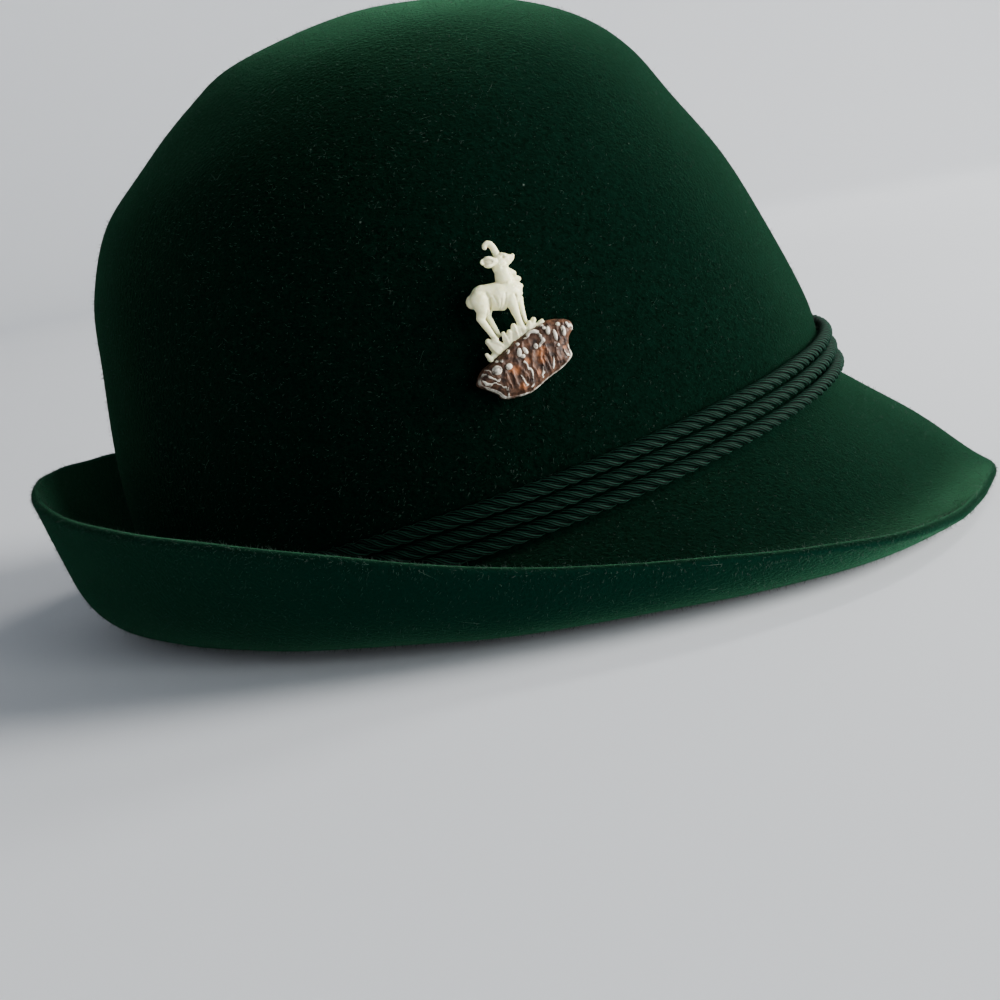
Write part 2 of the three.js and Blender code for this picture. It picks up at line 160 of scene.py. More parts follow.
def rescale(tree, value, low, high, to_low=0.0, to_high=1.0):
    """The share of the way from low to high, clamped and put between two new limits."""
    inputs = {"Value": value, 1: low, 2: high, 3: to_low, 4: to_high}
    return add_node(tree, "MapRange", inputs).outputs[0]


def noise(tree, where, scale, **settings):
    """Cloudy noise between 0 and 1, its scale in patches a metre on Object coordinates."""
    return add_node(tree, "TexNoise", {"Vector": where, "Scale": scale, **settings}).outputs[0]


def object_place(tree):
    """Object coordinates, which are the row frame's, in metres."""
    return add_node(tree, "TexCoord", {}).outputs["Object"]


def soft_light(name, place_at, aim, size, power, colour):
    """A round soft light at a place, turned towards a point."""
    light = bpy.data.lights.new(name, "AREA")
    light.shape = "DISK"
    light.size = size
    light.energy = power
    light.color = colour
    lamp = bpy.data.objects.new(name, light)
    bpy.context.scene.collection.objects.link(lamp)
    towards = Vector(aim) - Vector(place_at)
    lamp.location = place_at
    lamp.rotation_euler = towards.to_track_quat("-Z", "Y").to_euler()


camera = bpy.data.cameras.new("camera")
camera.lens = LENS_MM
camera.sensor_width = SENSOR_MM
camera.clip_start = CAMERA_NEAR
camera.clip_end = CAMERA_FAR
view = bpy.data.objects.new("camera", camera)
view.location = CAMERA_PLACE
view.rotation_euler = [math.radians(turn) for turn in CAMERA_TURN_DEG]
bpy.context.scene.collection.objects.link(view)
bpy.context.scene.camera = view

pale, pale_tree, pale_shader = new_material("pale_paper", Roughness=0.9)
paper_patches = noise(pale_tree, object_place(pale_tree), PAPER_PATCHES)
paper_colour = blend_colours(pale_tree, paper_patches, PAPER_DARK, PAPER_LIGHT)
pale_tree.links.new(paper_colour, pale_shader.inputs["Base Color"])
floor = place("floor", ring_mesh("floor", studio_floor(), ((0, 0, -FLOOR_BELOW), None)), pale)

for light in LIGHTS:
    soft_light(*light)
world = bpy.data.worlds.new("studio")
world.use_nodes = True
world.node_tree.nodes["Background"].inputs["Color"].default_value = AIR_COLOUR
world.node_tree.nodes["Background"].inputs["Strength"].default_value = AIR_STRENGTH
bpy.context.scene.world = world

# Felt body: a hood of rabbit-fur velour felt, steamed and blocked into crown and brim in one
# piece. The brim is cut round, left raw at its edge and pressed up at the back and sides.
MM = 0.001
TILT = math.radians(-9.818081835519475)
SHIFT_MM = np.array([0, 4.139460015439255, 19.93697230873348])
CROWN_LENGTH = 204.0
CROWN_WIDTH = 168.6
CROWN_HEIGHT = 137.5
BRIM_WIDTH = 52.0
FELT = 2.8
EDGE_ROUNDING = 1.35
WIDEST_BACK = 0.04
BEND_LENGTH = 0.7
FELT_COLUMNS = 576
CROWN_RINGS = 66
BRIM_RINGS = 32
SLOPE_STEPS = 4
EDGE_STEPS = 6
INSIDE_RINGS = 26
HEIGHT_SAMPLES = 2001
UNEVEN_DEPTH = 0.16
UNEVEN_LENGTH = 36.0
UNEVEN_WAVES = 24
UNEVEN_SEED = 11
WAVE_SPREAD = (0.6, 1.8)
# Painted light: the felt is coloured lighter under the brim, standing in for light bounced up from
# below, and on top of its turned-up back, standing in for light from behind. The nap there is also
# brushed up.
TOP_BRUSHED_PAINTED_LIGHT = 0.5
TOP_BRUSHED_PAINTED_LIGHT_FROM = 10
BRUSHED_PAINTED_LIGHT_FADE = 4
CUT_EDGE_FADE = 1.5
NAP_STREAKS = 1500.0
NAP_CLOUDS = 42.0
NAP_TUFTS = 380.0
NAP_RELIEF = 0.0007
LINT_CELLS = 170.0
LINT_PATCHES = 95.0
NAP_DARK = (0.0001, 0.0008, 0.0005, 1)
NAP_LIT = (0.0009, 0.0072, 0.0044, 1)
NAP_CLOUD = (0.0003, 0.0034, 0.0022, 1)
NAP_TUFT = (0.0006, 0.0062, 0.0038, 1)
# Colour of the painted light under the brim and on top of its turned-up back.
NAP_BRUSHED_PAINTED_LIGHT = (0.0003, 0.0135, 0.0085, 1)
NAP_CUT = (0.0035, 0.014, 0.008, 1)
NAP_SHEEN = (0.3, 1.0, 0.52, 1)
LINT = (0.13, 0.17, 0.14, 1)
# Height, reach to the front, reach to the back and half width, as shares, from foot to top.
CROWN_SECTIONS = np.array([
    (0.0, 0.99, 1.02, 1.0),
    (0.07, 0.976, 1.026, 0.994),
    (0.16, 0.976, 1.03, 0.985),
    (0.33, 0.93, 1.0, 0.955),
    (0.5, 0.868, 0.948, 0.905),
    (0.64, 0.786, 0.896, 0.84),
    (0.76, 0.712, 0.8, 0.75),
    (0.85, 0.605, 0.644, 0.64),
    (0.93, 0.422, 0.475, 0.48),
    (0.982, 0.191, 0.308, 0.26),
    (1.0, 0.0, 0.0, 0.0),
])
# Width, slope at the crown, slope at the edge and place of the bend, from the front every 30
# degrees to the back.
BRIM_STATIONS = np.array([
    (1.06, -46, -70, 0.78),
    (1.0, -57, 22, 0.85),
    (1.06, -51, 53, 0.745),
    (0.915, -41, 76, 0.617),
    (0.98, -25, 78, 0.38),
    (1.025, -3, 81, 0.27),
    (1.08, 2, 88, 0.25),
])
TOP = len(CROWN_SECTIONS) - 1
crown_below = 2 * CROWN_SECTIONS[:1] - CROWN_SECTIONS[1:2]
crown_beyond = CROWN_SECTIONS[-2:-1] * (1, -1, -1, -1)
crown_rows = np.concatenate([crown_below, CROWN_SECTIONS, crown_beyond])
brim_rows = np.concatenate([BRIM_STATIONS[1:2], BRIM_STATIONS, BRIM_STATIONS[-2:-1]])


def along_table(rows, spot):
    """All columns of a table at fractional rows: the Catmull-Rom cubic through four rows."""
    spot = np.asarray(spot, float)
    row = np.clip(np.floor(spot).astype(int), 0, len(rows) - 4)
    u = (spot - row)[..., None]
    a, b, c, d = (rows[row + k] for k in range(4))
    cubic = (-a + 3 * b - 3 * c + d) * u**3 + (2 * a - 5 * b + 4 * c - d) * u**2
    return 0.5 * (cubic + (c - a) * u + 2 * b)


def crown_point(spot, around):
    """Half ellipses with their own reach to front and back, on sections that follow the table."""
    share, front, back, side = np.moveaxis(along_table(crown_rows, spot), -1, 0)
    middle = CROWN_LENGTH / 2 * WIDEST_BACK * (1 - share**2)
    front = front * CROWN_LENGTH / 2 + middle
    back = back * CROWN_LENGTH / 2 - middle
    reach = np.where(np.cos(around) > 0, front, back)
    x = -side * CROWN_WIDTH / 2 * np.sin(around)
    y = middle - reach * np.cos(around)
    return np.stack(np.broadcast_arrays(x, y, share * CROWN_HEIGHT), -1)


def crown_normal(spot, around):
    """Outward unit normal: the cross product of two short steps over the crown."""
    step = 0.01
    rise = crown_point(spot + step, around) - crown_point(np.maximum(spot - step, 0), around)
    turn = crown_point(spot, around + step) - crown_point(spot, around - step)
    normal = np.cross(rise, turn)
    return normal / np.linalg.norm(normal, axis=-1, keepdims=True)


def spot_at_height(height):
    """Row of the crown table at a height in mm, read back from the table's own heights."""
    spots = np.linspace(0, TOP, HEIGHT_SAMPLES)
    return float(np.interp(height, crown_point(spots, 0.0)[:, 2], spots))


def smoothstep(value, low, high):
    """Rises from 0 at low to 1 at high with no corner at either end."""
    t = np.clip((value - low) / (high - low), 0, 1)
    return t * t * (3 - 2 * t)


def stand(points):
    """From the hat's own frame in mm to the row frame in metres: tilted, set down and pressed
    flat on the floor."""
    turn = np.array(
        [
            (1, 0, 0),
            (0, math.cos(TILT), -math.sin(TILT)),
            (0, math.sin(TILT), math.cos(TILT)),
        ]
    )
    placed = (points @ turn.T + SHIFT_MM) * MM
    placed[..., 2] = np.maximum(placed[..., 2], 0)
    return placed


def uneven(points, size, waves, seed):
    """Smooth unevenness: a sum of sine waves with random directions, lengths and phases, divided
    by its usual size."""
    draw = np.random.default_rng(seed)
    shift = np.zeros(points.shape)
    for _ in range(waves):
        length = draw.uniform(*WAVE_SPREAD) * size
        wave = draw.normal(size=3)
        wave *= 2 * np.pi / length / np.linalg.norm(wave)
        push = draw.normal(size=3)
        shift += np.sin(points @ wave + draw.uniform(0, 2 * np.pi))[..., None] * push
    return shift / math.sqrt(waves * 1.5)


def felt_rings():
    """Rings of the felt: down the crown, out over the brim, round its cut edge, back under it
    and up inside the crown. The brim follows a slope that turns in one smooth bend."""
    around = -2 * np.pi * np.arange(FELT_COLUMNS) / FELT_COLUMNS
    spots = TOP * (1 - np.arange(1, CROWN_RINGS + 1) / CROWN_RINGS)[:, None]
    outside = crown_point(spots, around[None])
    mirrored = np.abs((around + np.pi) % (2 * np.pi) - np.pi)
    station = along_table(brim_rows, mirrored / np.pi * (len(BRIM_STATIONS) - 1))
    width = station[:, 0] * BRIM_WIDTH
    root, edge = np.radians(station[:, 1]), np.radians(station[:, 2])
    bend = station[:, 3]
    outward = crown_normal(0.0, around) * (1, 1, 0)
    outward /= np.linalg.norm(outward, axis=-1, keepdims=True)
    steps = BRIM_RINGS * SLOPE_STEPS

    def slope_at(u):
        done = smoothstep(u, bend - BEND_LENGTH / 2, bend + BEND_LENGTH / 2)
        return root + (edge - root) * done

    halfway = slope_at(((np.arange(steps) + 0.5) / steps)[:, None])
    out = np.cumsum(np.cos(halfway), 0) * width / steps
    rise = np.cumsum(np.sin(halfway), 0) * width / steps
    out = np.concatenate([np.zeros((1, FELT_COLUMNS)), out])[::SLOPE_STEPS]
    rise = np.concatenate([np.zeros((1, FELT_COLUMNS)), rise])[::SLOPE_STEPS]
    slope = slope_at((np.arange(BRIM_RINGS + 1) / BRIM_RINGS)[:, None])
    foot = outside[-1]
    up = np.array([0, 0, 1.0])
    top = foot + outward * out[..., None] + up * rise[..., None]
    lie = np.cos(slope)[..., None] * outward + np.sin(slope)[..., None] * up
    face = np.cos(slope)[..., None] * up - np.sin(slope)[..., None] * outward
    bottom = top - FELT * face
    corner_turn = np.linspace(0, np.pi / 2, EDGE_STEPS)[:, None, None]
    lip, lip_face = lie[-1], face[-1]
    upper = (
        top[-1]
        + EDGE_ROUNDING * (np.sin(corner_turn) - 1) * lip
        + EDGE_ROUNDING * (np.cos(corner_turn) - 1) * lip_face
    )
    lower = (
        bottom[-1]
        + EDGE_ROUNDING * (np.cos(corner_turn) - 1) * lip
        - EDGE_ROUNDING * (np.sin(corner_turn) - 1) * lip_face
    )
    turned = (slope[0] - np.pi / 2) / 2
    corner = foot + FELT * (np.sin(turned)[:, None] * outward - np.cos(turned)[:, None] * up)
    inner_spots = TOP * (np.arange(INSIDE_RINGS) / INSIDE_RINGS)[:, None]
    inside = crown_point(inner_spots, around[None])
    inside = inside - FELT * crown_normal(inner_spots, around[None])
    return np.concatenate(
        [outside, top[1:-1], upper, lower, bottom[-2::-1], corner[None], inside]
    )


def brushed_painted_light_share(count):
    """Share of the painted light under and on the brim: 1 under it, painted bounce light from below
    on nap that was brushed up, less on top of its turned-up back, painted light from behind, and 0
    on the crown and inside it."""
    first = CROWN_RINGS + BRIM_RINGS - 1 + EDGE_STEPS
    last = count - INSIDE_RINGS
    ring = np.arange(count)[:, None]
    around = 2 * np.pi * np.arange(FELT_COLUMNS) / FELT_COLUMNS
    over_edge = smoothstep(ring, first, first + BRUSHED_PAINTED_LIGHT_FADE)
    under = over_edge * (1 - smoothstep(ring, last - BRUSHED_PAINTED_LIGHT_FADE, last))
    on_top = smoothstep(ring, CROWN_RINGS + TOP_BRUSHED_PAINTED_LIGHT_FROM, first) * (1 - over_edge)
    return under + TOP_BRUSHED_PAINTED_LIGHT * on_top * smoothstep(-np.cos(around), 0.0, 0.6)


def cut_edge_share(count):
    """1 at the cut edge's rings, fading over a few rings to either side."""
    off = np.abs(np.arange(count) - (CROWN_RINGS + BRIM_RINGS - 1 + EDGE_STEPS - 0.5))
    return 1 - smoothstep(off, EDGE_STEPS - 1, EDGE_STEPS + CUT_EDGE_FADE)


def paint(mesh, name, values):
    """Gives a mesh one number a point under a name, which its material reads."""
    layer = mesh.attributes.new(name, "FLOAT", "POINT")
    layer.data.foreach_set("value", np.asarray(values, np.float32))


def painted(tree, name):
    """The number that the mesh carries at each point under a name."""
    return add_node(tree, "Attribute", {}, attribute_name=name).outputs["Fac"]


def times(tree, first, second):
    """Product of two numbers, each a value or a socket."""
    return add_node(tree, "Math", {0: first, 1: second}, operation="MULTIPLY").outputs[0]


def layer_colours(tree, colour, *layers):
    """A ground colour with further colours laid over it in turn, each by its own share."""
    for share, over in layers:
        colour = blend_colours(tree, share, colour, over)
    return colour


def finish_surface(tree, shader, colour, roughness, height, strength, depth):
    """Links a colour, a roughness and the bump of a height, depth metres deep, to the shader."""
    bump = add_node(tree, "Bump", {"Height": height, "Strength": strength, "Distance": depth})
    tree.links.new(colour, shader.inputs["Base Color"])
    tree.links.new(roughness, shader.inputs["Roughness"])
    tree.links.new(bump.outputs[0], shader.inputs["Normal"])


rings = felt_rings()
peak = crown_point(float(TOP), 0.0)
poles = np.stack([peak, peak - (0, 0, FELT)])
shape = np.concatenate([rings.reshape(-1, 3), poles])
shape += UNEVEN_DEPTH * uneven(shape, UNEVEN_LENGTH, UNEVEN_WAVES, UNEVEN_SEED)
shape = stand(shape)
felt_shape = shape[:-2].reshape(rings.shape)
felt_mesh = ring_mesh("felt_cloth", felt_shape, (shape[-2], shape[-1]))
edge_share = np.repeat(cut_edge_share(len(rings)), FELT_COLUMNS)
paint(felt_mesh, "cut_edge", np.append(edge_share, [0, 0]))
# Painted light: the share of painted bounce light under the brim and of painted light from behind
# on its turned-up back.
paint(felt_mesh, "brushed", np.append(brushed_painted_light_share(len(rings)), [0, 0]))

velour, velour_tree, velour_shader = new_material(
    "velour_felt",
    Sheen_Weight=0.125,
    Sheen_Roughness=0.42,
    Sheen_Tint=NAP_SHEEN,
    Specular_IOR_Level=0.0,
)
felt_place = object_place(velour_tree)
nap_lie = add_node(
    velour_tree,
    "Mapping",
    {"Vector": felt_place, "Rotation": (0.35, 0.2, 0), "Scale": (1, 0.55, 0.8)},
).outputs[0]
clouds = noise(velour_tree, felt_place, NAP_CLOUDS, Detail=3.0)
streaks = noise(
    velour_tree, nap_lie, NAP_STREAKS, Detail=3.0, Roughness=0.7, Distortion=0.5
)
tufts = noise(velour_tree, felt_place, NAP_TUFTS, Detail=2.0)
lint_cells = add_node(velour_tree, "TexVoronoi", {"Vector": felt_place, "Scale": LINT_CELLS})
lint = times(
    velour_tree,
    rescale(velour_tree, lint_cells.outputs["Distance"], 0.02, 0.06, 0.5, 0.0),
    rescale(velour_tree, noise(velour_tree, felt_place, LINT_PATCHES), 0.6, 0.64),
)
nap_colour = layer_colours(
    velour_tree,
    blend_colours(velour_tree, rescale(velour_tree, streaks, 0.32, 0.72), NAP_DARK, NAP_LIT),
    (rescale(velour_tree, clouds, 0.35, 0.7, 0.0, 0.35), NAP_CLOUD),
    (rescale(velour_tree, tufts, 0.5, 0.68, 0.0, 0.5), NAP_TUFT),
    # painted bounce light under the brim and painted light from behind on its turned-up back
    (times(velour_tree, painted(velour_tree, "brushed"), 0.8), NAP_BRUSHED_PAINTED_LIGHT),
    (times(velour_tree, painted(velour_tree, "cut_edge"), 0.1), NAP_CUT),
    (lint, LINT),
)
nap_rough = rescale(velour_tree, streaks, 0.2, 0.8, 0.85, 1.0)
finish_surface(velour_tree, velour_shader, nap_colour, nap_rough, streaks, 0.5, NAP_RELIEF)
felt_cloth = place("felt_cloth", felt_mesh, velour)
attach(felt_cloth, "root")
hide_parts("felt_body")

# Nap: loose ends of fur that stand off the velour, more of them at the cut edge, and a few pale
# hairs that have settled on it. They are pointed, rooted in the felt and combed down and back.
NAP_HAIRS = 46000
PALE_HAIRS = 340
NAP_LENGTH = (0.4, 1.15)
PALE_LENGTH = (1.2, 2.8)
NAP_THICKNESS = 0.048
PALE_THICKNESS = 0.026
NAP_LIFT = (0.45, 1.0)
PALE_LIFT = 0.45
NAP_SPREAD = 0.35
PALE_SPREAD = 0.6
NAP_CURL = 0.25
PALE_CURL = 0.7
PALE_CLEAR = 0.15
PALE_JOINTS = 4
COMBED = (0, 0.3, -0.15)
HAIR_SIDES = 3
HAIR_TAPER = 0.6
HAIR_SEED = 31
BALD_BAND = 16.0
EDGE_FUZZ = 4.0
OFF_FLOOR = 0.0012
FUR_PATCHES = 900.0
FUR_RELIEF = 0.00005
FUR_DARK = (0.0008, 0.006, 0.0036, 1)
FUR_LIGHT = (0.006, 0.028, 0.016, 1)
FUR_PALE = (0.05, 0.085, 0.062, 1)


def root_places(count, draw):
    """Random places on the outside of the felt, as many on each face as its area asks for, with
    the unit normals there. The band under the cords stays bald."""
    grid = np.concatenate([felt_shape, felt_shape[:, :1]], 1)
    corner, across = grid[:-1, :-1], grid[:-1, 1:] - grid[:-1, :-1]
    down = grid[1:, :-1] - grid[:-1, :-1]
    normal = np.cross(down, across)
    area = np.linalg.norm(normal, axis=-1)
    height = CROWN_HEIGHT * (1 - (np.arange(len(area)) + 0.5) / CROWN_RINGS)
    banded = (height > 0) & (height < BALD_BAND)
    frayed = 1 + EDGE_FUZZ * cut_edge_share(len(felt_shape))[:-1, None]
    weight = area * frayed * ~banded[:, None] * (corner[..., 2] > OFF_FLOOR)
    weight[-INSIDE_RINGS:] = 0
    chosen = draw.choice(weight.size, count, p=(weight / weight.sum()).ravel())
    i, j = np.unravel_index(chosen, weight.shape)
    u, v = draw.random((2, count, 1))
    place_at = corner[i, j] + u * down[i, j] + v * across[i, j]
    return place_at, normal[i, j] / area[i, j][:, None]


def hairs(roots, lean, bend, length, thickness, joints):
    """Three-sided hairs that run along lean and turn towards bend by the square of the way;
    they taper to a point and are closed at the root. Gives points and triangles."""
    share = (np.arange(joints) / joints)[:, None]
    lean = lean / np.linalg.norm(lean, axis=-1, keepdims=True)
    way = share * lean[:, None] + share**2 * bend[:, None]
    line = roots[:, None] + length[:, None, None] * way
    tip = roots + length[:, None] * (lean + bend)
    side = np.cross(lean, (0.31, 0.47, 0.83))
    side /= np.linalg.norm(side, axis=-1, keepdims=True)
    other = np.cross(lean, side)
    turn = (2 * np.pi / HAIR_SIDES * np.arange(HAIR_SIDES))[:, None]
    ring = np.cos(turn) * side[:, None] + np.sin(turn) * other[:, None]
    section = thickness * (1 - HAIR_TAPER * share)[None, :, :, None] * ring[:, None]
    body = (line[:, :, None] + section).reshape(len(roots), -1, 3)
    points = np.concatenate([body, tip[:, None]], 1)
    step, here = np.meshgrid(np.arange(joints - 1), np.arange(HAIR_SIDES), indexing="ij")
    low, here = step.ravel() * HAIR_SIDES, here.ravel()
    high, after = low + HAIR_SIDES, (here + 1) % HAIR_SIDES
    sides = np.arange(HAIR_SIDES)
    first = (joints - 1) * HAIR_SIDES + sides
    second = (joints - 1) * HAIR_SIDES + (sides + 1) % HAIR_SIDES
    one = np.concatenate(
        [
            np.array([[0, 2, 1]]),
            np.stack([low + here, low + after, high + after], 1),
            np.stack([low + here, high + after, high + here], 1),
            np.stack([first, second, np.full(HAIR_SIDES, joints * HAIR_SIDES)], 1),
        ]
    )
    faces = one + (np.arange(len(roots)) * points.shape[1])[:, None, None]
    return points.reshape(-1, 3), faces.reshape(-1, 3)


def nap_mesh(name):
    """Short nap hairs that lean out of the felt and down, and longer pale ones lying on it."""
    draw = np.random.default_rng(HAIR_SEED)
    spots, facing = root_places(NAP_HAIRS, draw)
    lean = facing * draw.uniform(*NAP_LIFT, (NAP_HAIRS, 1))
    lean = lean + NAP_SPREAD * draw.normal(size=spots.shape) + np.array(COMBED)
    length = draw.uniform(*NAP_LENGTH, NAP_HAIRS) * MM
    bend = NAP_CURL * draw.normal(size=spots.shape)
    short, short_faces = hairs(spots, lean, bend, length, NAP_THICKNESS * MM, 1)
    spots, facing = root_places(PALE_HAIRS, draw)
    lean = PALE_LIFT * facing + PALE_SPREAD * draw.normal(size=spots.shape)
    lean += facing * np.maximum(PALE_CLEAR - (lean * facing).sum(-1, keepdims=True), 0)
    length = draw.uniform(*PALE_LENGTH, PALE_HAIRS) * MM
    bend = np.cross(facing, draw.normal(size=spots.shape)) * PALE_CURL
    long, long_faces = hairs(spots, lean, bend, length, PALE_THICKNESS * MM, PALE_JOINTS)
    points = np.concatenate([short, long])
    points[:, 2] = np.maximum(points[:, 2], 0)
    mesh = bpy.data.meshes.new(name)
    triangles = np.concatenate([short_faces, long_faces + len(short)])
    mesh.from_pydata(points.tolist(), [], triangles.tolist())
    paint(mesh, "settled", np.arange(len(points)) >= len(short))
    mesh.update()
    return mesh


fur, fur_tree, fur_shader = new_material("loose_fur", Sheen_Weight=0.1, Sheen_Tint=NAP_SHEEN)
fur_patches = noise(fur_tree, object_place(fur_tree), FUR_PATCHES)
fur_colour = layer_colours(
    fur_tree,
    blend_colours(fur_tree, rescale(fur_tree, fur_patches, 0.35, 0.65), FUR_DARK, FUR_LIGHT),
    (painted(fur_tree, "settled"), FUR_PALE),
)
fur_rough = rescale(fur_tree, fur_patches, 0.2, 0.8, 0.7, 0.9)
finish_surface(fur_tree, fur_shader, fur_colour, fur_rough, fur_patches, 0.2, FUR_RELIEF)
loose_fur = place("loose_fur", nap_mesh("loose_fur"), fur)
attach(loose_fur, "root")

# Hat cords: three ropes of four twisted strands, each strand of four rayon yarns laid side by
# side. Each is laid once round the foot of the crown and caught down at the wearer's left.
CORD_DIAMETER = 4.2
CORD_SPACING = 0.3
CORD_CLEARANCE = 0.3
CORD_RISE = 1.2
CORD_JOINT = 0.3
STRANDS = 4
YARNS = 4
YARN_POINTS = 5
LAY_LENGTH = 15.6
CORD_STEPS = 900
STRAND_RADIUS = 0.93
YARN_RELIEF = 0.27
TWIST_WANDER = 0.12
TWIST_WANDER_LENGTH = 47
SWELL = 0.02
SWELL_LENGTH = 31
CORD_SEED = 40
ONE_WAVE_A_YARN = math.pi / 10
FIBRE_RELIEF = 0.00025
FIBRE_LIE = (0.9, 6.0, 1.0)
# Painted shade: near black laid in the grooves between the yarns.
YARN_GROOVE_SHADE = (0.0002, 0.0009, 0.0006, 1)
YARN_DULL = (0.0035, 0.0225, 0.0135, 1)
YARN_BRIGHT = (0.0125, 0.05, 0.0315, 1)
YARN_SHEEN = (0.4, 0.8, 0.6, 1)


def cord_line(level, steps):
    """Centre line at its own level, off the crown by half the cord and its clearance. Gives the
    points, the sideways directions and the length run so far."""
    half_joint = CORD_JOINT / CROWN_WIDTH
    around = -np.pi / 2 + np.linspace(half_joint, 2 * np.pi - half_joint, steps)
    spot = spot_at_height(level)
    sideways = crown_normal(spot, around) * (1, 1, 0)
    length = np.linalg.norm(sideways, axis=-1, keepdims=True)
    offset = (CORD_DIAMETER / 2 + CORD_CLEARANCE) / length**2
    line = crown_point(spot, around) + sideways * offset
    run = np.concatenate([[0], np.cumsum(np.linalg.norm(np.diff(line, axis=0), axis=1))])
    return line, sideways / length, run


def strand_profile(columns):
    """Reach of the rope's outside round its section: four round strands side by side, each with
    four low ridges for its yarns."""
    share = np.arange(columns) / columns
    off = (share * STRANDS + 0.5) % 1 - 0.5
    angle = off * 2 * np.pi / STRANDS
    middle = CORD_DIAMETER / 2 - STRAND_RADIUS
    under = np.maximum(STRAND_RADIUS**2 - (middle * np.sin(angle)) ** 2, 0)
    reach = middle * np.cos(angle) + np.sqrt(under)
    ridge = 0.5 + 0.5 * np.cos(2 * np.pi * share * STRANDS * YARNS)
    return reach - YARN_RELIEF * (1 - ridge)


def rope(name, level, seed):
    """The strand profile carried along the centre line and turned once for each lay length."""
    columns = STRANDS * YARNS * YARN_POINTS
    line, sideways, run = cord_line(level, CORD_STEPS)
    draw = np.random.default_rng(seed)
    phase = 2 * np.pi * run
    wander = TWIST_WANDER * np.sin(phase / TWIST_WANDER_LENGTH + draw.uniform(0, 6))
    turn = phase / LAY_LENGTH + draw.uniform(0, 6) + wander
    around = turn[:, None] + 2 * np.pi * np.arange(columns) / columns
    swell = 1 - SWELL * (1 + np.sin(phase / SWELL_LENGTH + draw.uniform(0, 6)))
    reach = strand_profile(columns)[None] * swell[:, None]
    up = np.array([0, 0, 1.0])
    points = (
        line[:, None]
        + (reach * np.cos(around))[..., None] * sideways[:, None]
        + (reach * np.sin(around))[..., None] * up
    )
    across = np.arange(columns + 1) / YARN_POINTS
    ends = stand(np.stack([line[0], line[-1]]))
    return ring_mesh(name, stand(points), (ends[0], ends[1]), run, across)


yarn, yarn_tree, yarn_shader = new_material(
    "rayon_cord",
    Sheen_Weight=0.01,
    Sheen_Roughness=0.4,
    Sheen_Tint=YARN_SHEEN,
    Specular_IOR_Level=0.04,
)
yarn_lay = add_node(yarn_tree, "UVMap", {}, uv_map="lay").outputs[0]
yarn_waves = add_node(
    yarn_tree,
    "TexWave",
    {"Vector": yarn_lay, "Scale": ONE_WAVE_A_YARN, "Phase Offset": math.pi},
    wave_type="BANDS",
    bands_direction="Y",
)
yarn_crest = rescale(yarn_tree, yarn_waves.outputs["Fac"], 0.45, 0.92)
fibre_lie = add_node(yarn_tree, "Mapping", {"Vector": yarn_lay, "Scale": FIBRE_LIE}).outputs[0]
fibres = noise(yarn_tree, fibre_lie, 1.0, Detail=3.0)
crest_colour = blend_colours(
    yarn_tree, rescale(yarn_tree, fibres, 0.3, 0.7), YARN_DULL, YARN_BRIGHT
)
# Painted shade in the grooves between the yarns; the crests keep the yarn's own colour.
yarn_colour = blend_colours(yarn_tree, yarn_crest, YARN_GROOVE_SHADE, crest_colour)
yarn_rough = rescale(yarn_tree, fibres, 0.2, 0.8, 0.5, 0.7)
yarn_height = add_node(yarn_tree, "Math", {0: yarn_crest, 1: fibres}, operation="ADD").outputs[0]
finish_surface(yarn_tree, yarn_shader, yarn_colour, yarn_rough, yarn_height, 0.8, FIBRE_RELIEF)

for number, name in enumerate(("cord_bottom", "cord_middle", "cord_top")):
    level = CORD_RISE + CORD_DIAMETER / 2 + number * (CORD_DIAMETER + CORD_SPACING)
    laid = place(f"rope_{name}", rope(f"rope_{name}", level, CORD_SEED + number), yarn)
    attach(laid, "root")
    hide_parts(name)

# Brooch, the burr: a slice of the rose at the foot of an antler, brown between its white pearls
# and furrowed ribs, sawn flat behind. The pin that goes through the felt holds it to the crown.
BROOCH_RISE = 42.4
BROOCH_AROUND = math.radians(84.5)
BROOCH_CLEARANCE = 0.3
BURR_LENGTH = 26.5
BURR_HEIGHT = 15.0
BURR_COLUMNS = 320
BURR_RINGS = 96
BURR_MIDDLE = np.array([0.0, -0.8])
BURR_FACE = 5.4
BURR_RING_SPREAD = 0.75
RIM_DROP = 2.2
RIM_SHARPNESS = 8
SAWN_RIM = 0.935
SAWN_RISE = 0.25
SAWN_WHITE = (0.7, 0.35)
WALL_RINGS = 14
WALL_WAIST = 0.02
WALL_RIDGE = 0.006
WALL_RIDGE_TURN = 31
WALL_WHITE = 0.45
BACK_RINGS = np.array([0.8, 0.4])
RIB_WANDER = 0.2
RIB_SWELL = 0.35
FURROW_DEPTH = 0.24
GRIT_DEPTH = 0.09
GROUND_UNDER_PEARLS = 0.3
# Ripples: length in mm, number of waves and seed.
WANDER_ALONG = (1.5, 14, 71)
WANDER_UP = (1.5, 14, 72)
SWELLING = (1.2, 14, 76)
FURROWS = (1.1, 26, 73)
GRIT = (0.7, 26, 74)
SAWN_PATCHES = (2.6, 16, 75)
ANTLER_PATCHES = 700.0
ANTLER_PORES = 2200.0
ANTLER_RELIEF = 0.0002
ANTLER_DARK = (0.024, 0.0105, 0.006, 1)
ANTLER_BROWN = (0.13, 0.058, 0.031, 1)
ANTLER_AMBER = (0.34, 0.11, 0.033, 1)
ANTLER_WHITE = (0.74, 0.69, 0.58, 1)
BURR_OUTLINE = np.array([
    (-0.49, -0.11),
    (-0.41, 0.04),
    (-0.3, 0.115),
    (-0.06, 0.32),
    (0.065, 0.38),
    (0.245, 0.43),
    (0.375, 0.395),
    (0.48, 0.31),
    (0.5, 0.18),
    (0.435, 0.06),
    (0.405, -0.08),
    (0.4, -0.24),
    (0.285, -0.36),
    (0.14, -0.435),
    (-0.02, -0.535),
    (-0.115, -0.56),
    (-0.3, -0.51),
    (-0.355, -0.39),
    (-0.43, -0.27),
    (-0.48, -0.2),
])
